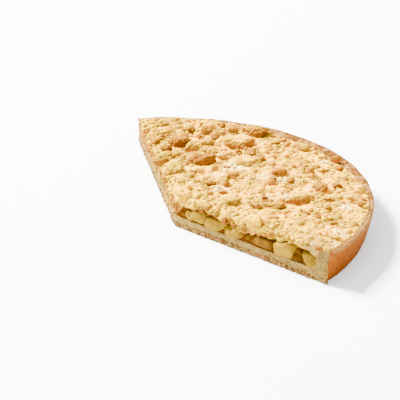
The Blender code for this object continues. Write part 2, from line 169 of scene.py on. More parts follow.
# The lumps that stand out most: x, y, length, width and height above the bed, the turn of their
# length from +X in degrees, and how far their sides and their tops are toasted; the sides' value
# also holds painted shade, as the sides are browner partly because they face away from the light
LARGE_LUMPS = [
    (-40.7, 11.9, 18.0, 15.5, 6.0, 62, 0.95, 0.25),
    (-50.2, 31.8, 14.0, 12.0, 5.4, 70, 1.1, 0.68),
    (-26.9, -25.5, 16.5, 10.0, 5.0, 55, 1.15, 0.95),
    (-62.4, -22.6, 12.5, 12.0, 5.2, 40, 1.15, 0.75),
    (-51.4, -19.7, 8.6, 10.0, 4.4, 60, 0.75, 0.6),
    (-45.7, -46.6, 11.0, 8.5, 3.4, 60, 0.95, 0.6),
    (60.9, -2.9, 15.6, 9.5, 4.2, 74, 0.85, 0.5),
    (60.5, -23.6, 13.4, 8.5, 3.2, 60, 0.9, 0.6),
    (52.1, 18.1, 8.5, 9.0, 3.4, 60, 1.0, 0.65),
    (17.3, 9.0, 9.7, 7.5, 3.0, 50, 1.1, 0.85),
    (-9.0, -0.3, 15.5, 9.0, 2.4, 66, 0.7, 0.25),
    (-23.4, -47.7, 11.0, 11.0, 3.8, 60, 0.7, 0.45),
    (12.2, -62.5, 12.0, 8.5, 3.2, 30, 0.35, 0.05),
    (71.5, -44.0, 12.0, 9.0, 3.4, 20, 0.35, 0.1),
    (40.6, -40.5, 9.4, 8.5, 3.0, 60, 0.8, 0.45),
    (-11.5, 46.4, 11.2, 7.5, 2.6, 8, 0.85, 0.5),
    (-26.3, 24.9, 9.0, 9.0, 3.4, 60, 0.25, 0.0),
    (-62.8, 19.3, 9.2, 7.5, 3.2, 66, 1.0, 0.85),
    (-70.1, 3.6, 7.5, 7.0, 3.2, 60, 0.95, 0.8),
    (-101.0, -14.0, 9.0, 7.0, 2.6, 120, 0.7, 0.45),
]
# Smaller toasted lumps: x, y and width, and how far they are toasted
TOASTED_LUMPS = [
    (-9.4, 10.4, 6.8, 0.95), (6.9, -38.9, 6.6, 0.95), (15.7, -31.7, 5.6, 1.0), (3.9, -19.6, 8.2, 0.85),
    (28.6, -4.0, 7.2, 0.85), (33.4, 6.9, 5.4, 0.9), (26.5, 27.6, 6.4, 0.95), (30.3, 47.9, 5.6, 0.95),
    (88.1, -8.0, 5.4, 1.0), (55.9, -31.7, 6.0, 0.85), (83.1, 27.9, 6.2, 0.75), (-76.8, 20.3, 5.0, 1.0),
    (-53.2, -3.7, 7.8, 0.7), (-26.4, -10.4, 8.6, 0.6), (14.9, 55.2, 7.4, 0.95),
]
# The kinds of scattered crumbs: least and greatest width, how finely their ball is divided, how far
# they are lifted as a share of half their height, how much their toasting differs, and their seed
CRUMB_KINDS = {
    "medium_lumps": (3.4, 8.2, 3, 0.08, 0.85, 107),
    "small_crumbs": (1.6, 3.6, 2, 0.12, 0.7, 117),
    "fine_crumbs": (0.9, 1.8, 1, 0.15, 0.3, 127),
    "grit": (0.5, 0.95, 1, 0.05, 0.1, 137),
}
# Where sugar lies thickest: x, y and reach, and how thick
SUGAR_PATCHES = [
    (-8.0, -8.5, 11, 1.0), (-3.0, -28.2, 8, 0.7), (18.6, -37.2, 8, 0.8), (27.0, 8.0, 9, 0.7),
    (52.2, -4.6, 9, 0.9), (18.5, 46.4, 6, 1.0), (82.5, 16.0, 7, 0.9), (111.0, -7.8, 7, 0.8),
    (122.0, -18.0, 5, 0.9), (15.2, -3.5, 8, 0.6), (48.3, 14.3, 8, 0.5), (49.7, -15.2, 7, 0.5),
]

# The camera: its height above the level, its turn from straight ahead, its distance from the point
# of the piece, how far beside and above that point it aims, and its lens on a 36 mm sensor
CAMERA_ELEVATION_DEG = 25.03
CAMERA_AZIMUTH_DEG = 59.98
CAMERA_DISTANCE = 7.482 * PIE_RADIUS
CAMERA_AIM_RIGHT = 0.1154 * PIE_RADIUS
CAMERA_AIM_UP = 0.1197 * PIE_RADIUS
CAMERA_LENS = 144
FLOOR_HALF_WIDTH = 3.0
LIGHTS_AIM_AT = Vector((0, 0, 0.01))

SEED = 7
ON_RIGHT_CUT, ON_RIM, ON_LEFT_CUT = 0, 1, 2


# Places on the piece and its sizes, worked out as in the solids

def directions(angle):
    """The directions in plan at these angles in radians from +X."""
    return np.stack([np.cos(angle), np.sin(angle)], axis=-1)


def unit(degrees):
    """The direction in plan at this angle from +X."""
    return directions(np.radians(degrees))


RIGHT_CUT = unit(RIGHT_CUT_DEG)
LEFT_CUT = unit(LEFT_CUT_DEG)
RIGHT_CUT_INWARD = np.array([-RIGHT_CUT[1], RIGHT_CUT[0]])
LEFT_CUT_INWARD = np.array([LEFT_CUT[1], -LEFT_CUT[0]])
CUTS = ((RIGHT_CUT, RIGHT_CUT_INWARD), (LEFT_CUT, LEFT_CUT_INWARD))
TOWARD_FRONT = np.array([*unit(-30), 0])


def smooth_step(value):
    """0 below 0, 1 above 1, and a smooth rise between: 3 v squared less 2 v cubed."""
    value = np.clip(value, 0, 1)
    return value * value * (3 - 2 * value)


def waves(points, wavelength, seed):
    """Smooth noise, mostly between -1 and 1: the sum of seven sine waves with drawn directions,
    lengths and phases, divided by the root of seven."""
    draw = np.random.RandomState(seed)
    total = np.zeros(len(points))
    count = 7
    for _ in range(count):
        direction = unit(draw.uniform(0, 360))
        stretch = draw.uniform(0.7, 1.5)
        phase = draw.uniform(0, 2 * np.pi)
        total += np.sin(points[:, :2] @ direction * (2 * np.pi * stretch / wavelength) + phase)
    return total / np.sqrt(count)


def read_off(table, place):
    """What a table in millimetres gives at each place, in metres, straight between its rows."""
    at, value = np.array(table).T * MM
    return np.interp(place, at, value)


def bearing(points):
    """The angle of each point round the pie from +X, in radians."""
    offset = points[..., :2] - PIE_CENTRE
    return np.arctan2(offset[..., 1], offset[..., 0])


def read_round_pie(table, points):
    """What a table of angles and millimetres gives at each point's angle, in metres."""
    angle, value = np.array(table).T
    return np.interp(np.degrees(bearing(points)), angle, value) * MM


def on_circle(start, direction, radius):
    """The point where a line from start in a direction leaves the pie's circle of this radius."""
    offset = start - PIE_CENTRE
    along = offset @ direction
    return start + direction * (-along + np.sqrt(along * along - offset @ offset + radius * radius))


def cut_length(direction):
    """The length of a cut from the point of the piece to the pie's radius."""
    return np.linalg.norm(on_circle(CUTS_MEET_AT, direction, PIE_RADIUS) - CUTS_MEET_AT)


def rim_distance(points):
    """How far in from the pie's radius each point lies."""
    return PIE_RADIUS - np.linalg.norm(points[:, :2] - PIE_CENTRE, axis=1)


def cut_distance(points):
    """How far in from the nearer cut each point lies."""
    offset = points[:, :2] - CUTS_MEET_AT
    return np.minimum(offset @ RIGHT_CUT_INWARD, offset @ LEFT_CUT_INWARD)


def rim_height(points):
    """The height of the rim: it falls from the right cut to the left one, waves a little, and
    rises to the right corner."""
    angle = bearing(points)
    part = (np.degrees(angle) - RIGHT_CUT_DEG) / (LEFT_CUT_DEG - RIGHT_CUT_DEG)
    even = RIM_HEIGHT_RIGHT + (RIM_HEIGHT_LEFT - RIM_HEIGHT_RIGHT) * np.clip(part, 0, 1)
    around = PIE_CENTRE + PIE_RADIUS * directions(angle)
    corner = 1 - smooth_step(part / 0.04)
    return even + 0.35 * MM * waves(around, 45 * MM, SEED) + RIM_CORNER_RISE * corner


def wall_inside(points):
    """The height of the base and of the wall's inner side at each point."""
    inset, part = np.array(WALL_INSIDE).T
    share = np.interp(rim_distance(points), inset * MM, part)
    return BASE_TOP + share * (rim_height(points) - BASE_TOP)


def crumble_inset(points):
    """How far in from the pie's radius the crumble ends, in each point's direction."""
    return CRUMBLE_RIM_INSET + read_round_pie(BARE_RIM, points)


def bare_at(points):
    """How bare of crumbs the topping is, from 0 to 1: in a band of uneven width along the rim and in
    a round patch at the right corner, each with a soft edge."""
    edge = read_round_pie(BARE_BAND, points) + 0.9 * MM * waves(points, 11 * MM, SEED + 12)
    band = 1 - smooth_step((rim_distance(points) - edge + 1.0 * MM) / (2.5 * MM))
    along, deep, reach = SMOOTH_CORNER
    middle = CUTS_MEET_AT + RIGHT_CUT * along + RIGHT_CUT_INWARD * deep
    patch = 1 - smooth_step(np.linalg.norm(points[:, :2] - middle, axis=1) / reach - 0.2)
    return np.maximum(band, 0.8 * patch)


def section_at(points):
    """How far the crumble shows as a smooth section of dough: at the right cut near its corner."""
    offset = points[:, :2] - CUTS_MEET_AT
    near_corner = smooth_step((offset @ RIGHT_CUT - 103 * MM) / (5 * MM))
    return near_corner * (1 - smooth_step((offset @ RIGHT_CUT_INWARD - 1.2 * MM) / (1.6 * MM)))


def crumble_bed(points):
    """The height of the crumble's top without its crumbs: nearly level inside with soft waves,
    falling smoothly to its lip at the rim, and at both cuts by the square of how near they are."""
    rim_side = smooth_step((rim_distance(points) - crumble_inset(points)) / CRUMBLE_RISE_WIDTH)
    back_left = smooth_step((np.degrees(bearing(points)) - BACK_LEFT_FROM_DEG) / BACK_LEFT_RISE_DEG)
    at_rim = rim_height(points) + ROOM_OVER_WALL + CRUMBLE_LIP + BACK_LEFT_LIP * back_left
    level = CRUMBLE_LEVEL + CRUMBLE_LEVEL_SLOPE * points[:, 0]
    near_cut = np.clip(1 - cut_distance(points) / CRUMBLE_EDGE_ROUND, 0, 1.2)
    away_from_rim = smooth_step((rim_distance(points) - 12 * MM) / (12 * MM))
    relief = 0.55 * MM * waves(points, 17 * MM, SEED + 1) + 0.3 * MM * waves(points, 7 * MM, SEED + 2)
    bed = at_rim + (level - at_rim) * rim_side - CRUMBLE_EDGE_DROP * near_cut ** 2 * away_from_rim
    return np.maximum(bed + relief * rim_side, wall_inside(points) + ROOM_OVER_WALL + 0.6 * MM)


def crumble_underside(points):
    """The height of the crumble's underside: level on the filling, and clear of the wall."""
    return np.maximum(CRUMBLE_BOTTOM, wall_inside(points) + ROOM_OVER_WALL)


# Grain and clods

def draw_for(cells, seed):
    """An even draw from 0 to 1 for each whole-number cell: its three numbers are mixed by large
    multipliers and shifts, so the same cell always gives the same draw."""
    mixed = (cells[..., 0] * 73856093) ^ (cells[..., 1] * 19349663) ^ (cells[..., 2] * 83492791)
    mixed = (mixed ^ (seed * 2654435761)) & 0xFFFFFFFF
    mixed = ((mixed ^ (mixed >> 15)) * 2246822519) & 0xFFFFFFFF
    mixed = ((mixed ^ (mixed >> 13)) * 3266489917) & 0xFFFFFFFF
    return ((mixed ^ (mixed >> 16)) & 0xFFFFFF) / 0x1000000


def grain(points, size, seed):
    """Smooth noise from -1 to 1: each corner of a lattice of this size has its own draw, and a
    point takes the smoothly weighted mean of the eight corners round it."""
    place = points / size
    cell = np.floor(place).astype(np.int64)
    part = smooth_step(place - cell)
    total = np.zeros(len(points))
    for corner in np.ndindex(2, 2, 2):
        weight = np.prod(np.where(corner, part, 1 - part), axis=1)
        total += weight * draw_for(cell + np.array(corner), seed)
    return 2 * total - 1


def clods(points, size, seed):
    """Packed clods of about this size. Every lattice cell holds one centre at a drawn place with a
    drawn reach, and a point belongs to the centre that is nearest for its reach. The results are
    the height of the clod's dome there, from 0 at its foot to 1, and the clod's own draw."""
    place = points / size
    cell = np.floor(place).astype(np.int64)
    nearest = np.full(len(points), np.inf)
    own = np.zeros(len(points))
    for step in np.ndindex(3, 3, 3):
        home = cell + np.array(step) - 1
        centre = home + np.stack([draw_for(home, seed + axis) for axis in range(3)], axis=1)
        reach = 0.62 + 0.45 * draw_for(home, seed + 3)
        distance = np.linalg.norm(place - centre, axis=1) / reach
        own = np.where(distance < nearest, draw_for(home, seed + 4), own)
        nearest = np.minimum(distance, nearest)
    return np.sqrt(np.clip(1 - nearest ** 2, 0, 1)), own


# Meshes

def outline(rim_inset, step, cut_inset=0.0):
    """The piece in plan, counter-clockwise from its point, at insets from the rim and the cuts.

    Each cut is divided evenly from the point to its corner, and the rim evenly by angle. The
    results are the points and, for each, whether it is on the right cut, the rim or the left cut.
    """
    inward = np.stack([RIGHT_CUT_INWARD, LEFT_CUT_INWARD])
    point = CUTS_MEET_AT + np.linalg.solve(inward, np.full(2, cut_inset))
    cuts = []
    for direction, _ in CUTS:
        corner = on_circle(point, direction, PIE_RADIUS - rim_inset)
        count = int(round(cut_length(direction) / step))
        parts = np.arange(1, count + 1)[:, None] / count
        cuts.append(point + (corner - point) * parts)
    count = int(PIE_RADIUS * np.radians(LEFT_CUT_DEG - RIGHT_CUT_DEG) / step)
    around = np.linspace(*[bearing(cut[-1]) for cut in cuts], count)[1:-1]
    rim = PIE_CENTRE + (PIE_RADIUS - rim_inset) * directions(around)
    points = np.vstack([point, cuts[0], rim, cuts[1][::-1]])
    side = np.repeat([ON_RIGHT_CUT, ON_RIM, ON_LEFT_CUT], [1 + len(cuts[0]), len(rim), len(cuts[1])])
    return points, side


def way_out(points, side):
    """For each outline point, the level direction out of the piece."""
    radial = points[:, :2] - PIE_CENTRE
    radial = radial / np.linalg.norm(radial, axis=1)[:, None]
    off_cut = np.where(side[:, None] == ON_RIGHT_CUT, -RIGHT_CUT_INWARD, -LEFT_CUT_INWARD)
    outward = np.where(side[:, None] == ON_RIM, radial, off_cut)
    outward[0] = -(RIGHT_CUT_INWARD + LEFT_CUT_INWARD) / 2
    return outward


def ring_faces(levels, count):
    """Four-sided faces between closed rings of points, from the lowest ring up."""
    low = (np.arange(levels - 1) * count)[:, None] + np.arange(count)
    after = (np.arange(levels - 1) * count)[:, None] + (np.arange(count) + 1) % count
    return np.stack([low, after, after + count, low + count], axis=-1).reshape(-1, 4)


def cap_faces(ring, inner, start, upward):
    """Triangles that fill a ring in plan and use the inner points, as indices from start: the
    ring's own points come first and the inner points follow them."""
    flat = np.vstack([ring[:, :2], inner[:, :2]]) / MM
    points = [tuple(point) for point in flat]
    result = geometry.delaunay_2d_cdt(points, [], [list(range(len(ring)))], 1, 1e-6, True)
    places = [found[0] for found in result[3]]
    kept = [face for face, source in zip(result[2], result[5]) if source]
    faces = [[start + places[corner] for corner in face] for face in kept]
    return faces if upward else [face[::-1] for face in faces]


def closed_rings(rings, inner=np.empty((0, 3))):
    """The points and faces of rings joined from the lowest up and filled at both ends. The inner
    points join in the upper end."""
    count = len(rings[0])
    faces = ring_faces(len(rings), count).tolist()
    faces += cap_faces(rings[0], inner[:0], 0, False)
    faces += cap_faces(rings[-1], inner, (len(rings) - 1) * count, True)
    return np.vstack([*rings, inner]), faces


def link(name, data):
    """A new object in the scene."""
    made = bpy.data.objects.new(name, data)
    bpy.context.scene.collection.objects.link(made)
    return made


def put_mesh(name, vertices, faces, attributes, material, replaced=()):
    """A smooth mesh object with its attributes and its material, kept inside the solids' box. It
    rides on the solids' root, and the solids' parts that it replaces are hidden."""
    vertices = np.clip(vertices, CAD_BOX[0], CAD_BOX[1])
    mesh = bpy.data.meshes.new(name)
    mesh.from_pydata(vertices.tolist(), [], faces)
    for key, values in attributes.items():
        layer = mesh.attributes.new(name=key, type="FLOAT", domain="POINT")
        layer.data.foreach_set("value", np.asarray(values, dtype=np.float32))
    mesh.shade_smooth()
    mesh.materials.append(material)
    piece = link(name, mesh)
    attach(piece, "root")
    if replaced:
        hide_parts(*replaced)


def curve_through(knots, count):
    """A smooth curve through knots: each stretch is a cubic whose slope at a knot is the mean of
    the slopes beside it, and the points are spread evenly over the stretches."""
    knots = np.array(knots, dtype=float)
    ends = np.vstack([2 * knots[0] - knots[1], knots, 2 * knots[-1] - knots[-2]])
    slope = (ends[2:] - ends[:-2]) / 2
    place = np.linspace(0, len(knots) - 1, count)
    here = np.minimum(place.astype(int), len(knots) - 2)
    part = (place - here)[:, None]
    start, end = knots[here], knots[here + 1]
    rise = 3 * part ** 2 - 2 * part ** 3
    leaving = slope[here] * (part ** 3 - 2 * part ** 2 + part)
    arriving = slope[here + 1] * (part ** 3 - part ** 2)
    return start + (end - start) * rise + leaving + arriving


# The baked case

def case_rings(step, relief):
    """The baked case: the outline as a ring, carried from the foot up its wall and both cut faces.

    On the cuts a ring's height is its share of the height of the section there. Crumbly relief
    moves the cut faces out or in, most along the bottom, and soft waves and pits move the wall. The
    results are the rings and, for each point, how far it is baked, on the rim and in the section.
    """
    reference, side = outline(WALL_OUTSIDE[-1][1] * MM, step)
    on_rim = side == ON_RIM
    top = np.where(on_rim, rim_height(reference), wall_inside(reference))
    to_rim = rim_distance(reference)
    rings = []
    marks = []
    for part, inset in curve_through(WALL_OUTSIDE, WALL_RINGS):
        part = np.clip(part, 0, 1)
        points, _ = outline(inset * MM, step)
        height = part * top
        place = np.column_stack([points, height])
        domes, _ = clods(place, 2.3 * MM, SEED + 20)
        fine = grain(place, 0.9 * MM, SEED + 21)
        coarse = 1 + 1.9 * smooth_step((3.6 * MM - height) / (2 * MM)) + 0.7 * (side == ON_LEFT_CUT)
        coarse += 1.3 * smooth_step((18 * MM - to_rim) / (5 * MM))
        crumbly = relief * coarse * (domes - 0.55 + 0.5 * fine)
        pits, _ = clods(place, 4.5 * MM, SEED + 22)
        pitted = grain(place, 2.2 * MM, SEED + 24) + pits
        skin = 0.22 * MM * waves(place, 26 * MM, SEED + 23) + 0.12 * MM * pitted
        away = np.where(on_rim, skin, crumbly * smooth_step((to_rim - 3.6 * MM) / (2 * MM)))
        place[:, :2] += way_out(points, side) * away[:, None]
        rings.append(place)
        near_wall = smooth_step((5.2 * MM - to_rim) / (1.6 * MM))
        near_skin = np.maximum(near_wall, smooth_step((1.6 * MM - height) / (1.6 * MM)))
        near_top = smooth_step((14 * MM - to_rim) / (2 * MM)) * (side == ON_RIGHT_CUT)
        near_top = near_top * smooth_step((height - top + 0.9 * MM) / (0.9 * MM))
        baked = np.where(on_rim, 1.0, np.maximum(near_skin, near_top))
        # The rim's tan on the rim's top and over its rounded outer edge, where the pale line is a painted
        # highlight.
        rim = np.where(on_rim, smooth_step((part - 0.9) / 0.05), near_top)
        marks.append([baked, rim, smooth_step((18 * MM - to_rim) / (8 * MM))])
    rings[0][:, 2] = 0
    return rings, np.concatenate(marks, axis=1)


def rim_top(step):
    """Points over the rim's top and down the wall's inner side: rings in plan, at their heights."""
    rings = []
    for inset in RIM_TOP_INSETS:
        points, side = outline(inset, step)
        rings.append(points[side == ON_RIM])
    points = np.vstack(rings)
    points = points[cut_distance(points) > 0.6 * MM]
    place = np.column_stack([points, wall_inside(points)])
    place[:, 2] += 0.22 * MM * grain(place, 1.6 * MM, SEED + 25) + 0.3 * MM * waves(place, 8 * MM, SEED + 26)
    return place


def build_case(settings):
    """The baked case as one closed mesh. Its underside is level, and its top is filled through the
    points over the rim and down to the level base."""
    rings, marks = case_rings(settings.step, settings.relief)
    inner = rim_top(settings.step)
    vertices, faces = closed_rings(rings, inner)
    baked, rim, section = np.concatenate([marks, np.ones((3, len(inner)))], axis=1)
    put_mesh("baked_case", vertices, faces, {"baked": baked, "rim": rim, "section": section},
             case_material(settings), ["pastry_case"])


def build_cut_crumbs(settings):
    """Crumbs of baked dough on both cut faces of the case: most and the coarsest along the bottom
    edge, and some on the section of the wall."""
    draw = np.random.RandomState(SEED + 90)
    centres = []
    size = []
    for direction, inward in CUTS:
        length = cut_length(direction)
        count = int(length / MM * settings.crumbs_per_mm)
        along = draw.uniform(0.5 * MM, length - 3.5 * MM, count)
        height = 0.4 * MM + 6.0 * MM * draw.uniform(0, 1, count) ** 2.6
        on_wall = draw.uniform(0, 1, count) < DOUGH_CRUMBS_ON_WALL
        along = np.where(on_wall, length - (3.2 + 6 * draw.uniform(0, 1, count) ** 1.6) * MM, along)
        height = np.where(on_wall, draw.uniform(2, 19, count) * MM, height)
        proud = draw.uniform(-0.2, 0.35, count) * MM
        plan = CUTS_MEET_AT + direction * along[:, None] - inward * proud[:, None]
        centres.append(np.column_stack([plan, height]))
        coarse = 0.6 + 1.8 * smooth_step((3.2 * MM - height) / (2.4 * MM))
        size.append(0.6 + coarse * draw.uniform(0, 1, count) ** 1.6)
    centres = np.vstack(centres)
    count = len(centres)
    half = np.concatenate(size)[:, None] * MM / 2 * draw.uniform(0.75, 1.2, (count, 3))
    centres[:, 2] = np.maximum(centres[:, 2], half.max(axis=1) * 1.15)
    turns = draw.uniform(0, 2 * np.pi, count)
    tilts = draw.uniform(-0.8, 0.8, count)
    placed, faces, _ = many_lumps(2, centres, half, turns, tilts, SEED + 91)
    browned = 0.8 * draw.uniform(0, 1, count) ** 1.5
    low_down = smooth_step((4.5 * MM - centres[:, 2]) / (3.5 * MM))
    baked = np.repeat(browned * (0.25 + 0.75 * low_down), placed.shape[1])
    put_mesh("dough_crumbs", placed.reshape(-1, 3), faces.tolist(),
             {"baked": baked, "rim": 0 * baked, "section": 0 * baked}, case_material(settings))


# The filling

def build_glaze(settings):
    """The glazed core of the filling: rings set back from both cuts, with soft clods of cooked
    apple in the glaze as relief. On the right cut it reaches up to the crumble's lower edge."""
    inset, part = np.array(WALL_INSIDE).T
    rings = []
    depth = []
    for number, share in enumerate(np.append(np.linspace(0, 1, GLAZE_RINGS), 1)):
        last = number == GLAZE_RINGS
        level = FILLING_BOTTOM + (FILLING_TOP - FILLING_BOTTOM) * share
        wall_part = (BASE_TOP - level) / (RIM_HEIGHT_RIGHT - BASE_TOP)
        clear_inset = np.interp(wall_part, -part, inset) * MM + FILLING_GAP
        points, side = outline(clear_inset, GLAZE_STEP, FILLING_RECESS + (4.5 * MM if last else 0))
        on_right = side == ON_RIGHT_CUT
        along = (points - CUTS_MEET_AT) @ RIGHT_CUT
        shown = read_off(GLAZE_DEPTH, along) - FILLING_RECESS
        uneven = FILLING_RECESS * np.clip(0.3 * waves(points, 21 * MM, SEED + 5), -0.25, 0.4)
        uneven = np.where(on_right, shown, uneven - 1.5 * MM)
        up_to_edge = read_off(CRUMBLE_EDGE, along) + 0.8 * MM - FILLING_TOP
        away_from_rim = smooth_step((rim_distance(points) - 15 * MM) / (4 * MM))
        top = FILLING_TOP + up_to_edge * on_right * away_from_rim
        foot = FILLING_BOTTOM - 0.3 * MM * (side != ON_RIM)
        height = np.full(len(points), FILLING_TOP) if last else foot + (top - foot) * share
        place = np.column_stack([points, height])
        domes, _ = clods(place, 5.5 * MM, SEED + 30)
        bumps = (1.3 * domes + 0.4 * grain(place, 1.8 * MM, SEED + 31) - 0.7) * MM
        back = np.maximum(uneven - bumps + 1.1 * MM * share ** 2 * on_right, 0.5 * MM - FILLING_RECESS)
        near_foot = smooth_step((height - foot) / (4.6 * MM))
        # Painted shade: the further back the glaze lies, the darker it is drawn, a little less so at its
        # foot.
        depth.append(np.clip((back + FILLING_RECESS) / (4 * MM), 0, 1) * (0.6 + 0.4 * near_foot))
        back = back * near_foot + (0.7 * MM - FILLING_RECESS) * (1 - near_foot)
        back = back * (side != ON_RIM) * smooth_step((rim_distance(points) - clear_inset) / (5 * MM))
        if not last:
            place[:, :2] -= way_out(points, side) * back[:, None]
        rings.append(place)
    vertices, faces = closed_rings(rings)
    put_mesh("glazed_filling", vertices, faces, {"depth": np.concatenate(depth)},
             glaze_material(settings), ["apple_filling"])


def drawn_in(points, planes, power, roundness):
    """How far out each direction reaches in a body bounded by planes with softened edges: the sum
    of the powers of how far the direction goes towards each plane, and of the roundness, to the
    power of minus one over the same number. A plane is its unit normal divided by its distance."""
    facing = np.clip(np.einsum("vc,npc->nvp", points, planes), 0, None)
    return (np.sum(facing ** power, axis=2) + roundness ** power) ** (-1 / power)


def left_cut_apple():
    """Apple pieces spread along the left cut, as the same rows as the right cut's. The solids'
    draws for the right cut come first."""
    draw = np.random.RandomState(SEED + 4)
    draw.uniform(size=SOLIDS_APPLE_DRAWS)
    first = 18
    last = cut_length(LEFT_CUT) / MM - 26
    rows = []
    for number in range(LEFT_CUT_APPLE_COUNT):
        place = first + (last - first) * (number + draw.uniform(-0.2, 0.2)) / (LEFT_CUT_APPLE_COUNT - 1)
        proud = draw.uniform(0.3, 1.2)
        width = draw.uniform(10, 12.5)
        height = draw.uniform(6.6, 7.4)
        rows.append((place, width, 8.0, 8.0 + height, proud, draw.uniform(-18, 18), draw.uniform(0, 0.8)))
    return rows


def sunken_apple(direction):
    """Smaller apple pieces set deeper behind a cut, which fill the gaps between the others."""
    draw = np.random.RandomState(SEED + 44)
    last = cut_length(direction) / MM - 22
    rows = []
    for place in np.arange(9, last, 6.5):
        width = draw.uniform(5.5, 9.5)
        low = draw.uniform(7.4, 9.5)
        lean = draw.uniform(-30, 30)
        place = place + draw.uniform(-2, 2)
        high = low + draw.uniform(5.0, 8.5)
        # They are drawn well browned: partly browned flesh and partly painted shade in the gaps behind the
        # front pieces.
        rows.append((place, width, low, high, draw.uniform(-2.4, -0.5), lean, draw.uniform(0.7, 1.3)))
    return rows


def build_apple(settings):
    """The cut apple pieces, set into the glaze at both cuts. Each is a ball drawn in to six sides
    that lean a little and to five drawn planes, with soft edges."""
    points, faces = ball(4)
    draw = np.random.RandomState(SEED + 40)
    on_right = RIGHT_CUT_APPLE + sunken_apple(RIGHT_CUT)
    on_left = left_cut_apple() + sunken_apple(LEFT_CUT)
    sides = np.vstack([np.eye(3), -np.eye(3)])
    vertices = []
    joined = []
    tone = []
    for (direction, inward), rows, order in zip(CUTS, (on_right, on_left), (faces, faces[:, ::-1])):
        for along, width, low, high, proud, lean, brown in rows:
            planes = np.vstack([sides + draw.normal(0, 0.26, (6, 3)),
                                draw.normal(size=(APPLE_SOFT_PLANES, 3))])
            away = np.append(np.full(6, 0.95), draw.uniform(0.88, 1.2, APPLE_SOFT_PLANES))
            planes /= np.linalg.norm(planes, axis=1)[:, None] * away[:, None]
            reach = drawn_in(points, planes[None], 18, 0.74)[0]
            reach *= 1 + 0.05 * grain(points + draw.uniform(0, 50, 3), 0.7, SEED + 41)
            size = np.array([APPLE_WIDER * width, APPLE_DEPTH / MM, APPLE_HIGHER * (high - low)]) * MM / 2
            shape = points * reach[:, None] * size
            shape[:, 0] -= np.tan(np.radians(lean)) * shape[:, 2]
            shape += 0.28 * MM * grain(shape, 2.4 * MM, SEED + 42)[:, None] * points
            start = CUTS_MEET_AT + direction * along * MM + inward * (APPLE_DEPTH / 2 - proud * MM)
            plan = start + direction * shape[:, :1] + inward * shape[:, 1:2]
            joined.append(order + len(vertices) * len(points))
            vertices.append(np.column_stack([plan, shape[:, 2] + (low + high) / 2 * MM]))
            # Painted shade: each piece is browner towards its outline, where the gaps between the pieces lie.
            outer = np.maximum(np.abs(shape[:, 0]) / size[0], np.abs(shape[:, 2]) / size[2])
            edge = smooth_step((outer - 0.6) / 0.4)
            tone.append(np.clip(brown + 0.3 * grain(vertices[-1], 4 * MM, SEED + 43) + 0.6 * edge, 0, 1.2))
    put_mesh("apple_pieces", np.vstack(vertices), np.vstack(joined).tolist(),
             {"tone": np.concatenate(tone)}, apple_material(settings))


# Where the crumble is toasted and where sugar lies on it

def shade_under_edge_at(points):
    """How near the crumble's lower edge at a cut each point lies, from 0 to 1: where painted shade under the
    overhang is put.
    """
    low_down = smooth_step((19.5 * MM - points[:, 2]) / (3.5 * MM))
    return (1 - smooth_step(cut_distance(points) / (4.5 * MM))) * low_down


def toasting_at(points):
    """How far the crumble is toasted: more towards the left and in soft patches, and browner along
    its lower edge at the cuts as painted shade under the overhang."""
    left = smooth_step((20 * MM - points[:, 0]) / (90 * MM))
    patches = 0.14 * waves(points, 34 * MM, SEED + 50) + 0.17 * waves(points, 13 * MM, SEED + 52)
    patches += 0.09 * grain(points, 3.5 * MM, SEED + 54)
    return 0.155 + 0.14 * left + patches + 0.42 * shade_under_edge_at(points)


def butter_at(points):
    """How yellow the crumble is: most near the cuts above their lower edge, and in soft patches
    elsewhere. It is less yellow along the lower edge, as painted shade under the overhang."""
    near_cut = 1 - smooth_step((cut_distance(points) - 3 * MM) / (14 * MM))
    patches = 0.14 * waves(points, 19 * MM, SEED + 53)
    return 0.38 + 0.5 * near_cut + patches - 0.8 * shade_under_edge_at(points)


def sugar_at(points):
    """How thickly sugar lies: a thin veil over the middle and the right, and thicker patches."""
    veil = np.clip(0.02 + 0.15 * waves(points, 14 * MM, SEED + 51), 0, 1)
    from_left = smooth_step((points[:, 0] + 60 * MM) / (90 * MM))
    total = veil * from_left * smooth_step(cut_distance(points) / (16 * MM))
    for x, y, reach, thick in SUGAR_PATCHES:
        distance = np.linalg.norm(points[:, :2] - np.array([x, y]) * MM, axis=1) / (1.5 * reach * MM)
        total = total + 1.2 * thick * (1 - smooth_step(distance))
    return np.clip(total, 0, 1)


# The crumble's bed

def bed_rails(columns):
    """The rails that the bed's profile is carried along from the left corner: the near one follows
    both cuts over the point, and the far one follows the ragged edge at the rim.

    The results are both rails, with a point for each column, how far each column lies from the
    point of the piece, less than 0 on the left cut, and the way out of the cut there.
    """
    ways = (LEFT_CUT, RIGHT_CUT)
    lengths = [cut_length(way) for way in ways]
    half = int(columns * lengths[0] / sum(lengths))
    part = np.concatenate([-np.linspace(1, 0, half, endpoint=False), np.linspace(0, 1, columns - half)])
    corners = [on_circle(CUTS_MEET_AT, way, PIE_RADIUS - CRUMBLE_RIM_INSET) for way in ways]
    to_corner = np.where(part[:, None] < 0, corners[0] - CUTS_MEET_AT, corners[1] - CUTS_MEET_AT)
    near = CUTS_MEET_AT + to_corner * np.abs(part)[:, None]
    toward = directions(np.linspace(*[bearing(corner) for corner in corners], columns))
    edge = PIE_CENTRE + PIE_RADIUS * toward
    ragged = 0.45 * MM * waves(edge, 30 * MM, SEED + 9) + 0.45 * MM * waves(edge, 6 * MM, SEED + 10)
    far = PIE_CENTRE + (PIE_RADIUS - crumble_inset(edge) + ragged)[:, None] * toward
    signed = part * np.where(part < 0, *lengths)
    turn = smooth_step((signed + 5 * MM) / (10 * MM))[:, None]
    outward = -(LEFT_CUT_INWARD * (1 - turn) + RIGHT_CUT_INWARD * turn)
    return near, far, signed, outward / np.linalg.norm(outward, axis=1)[:, None]


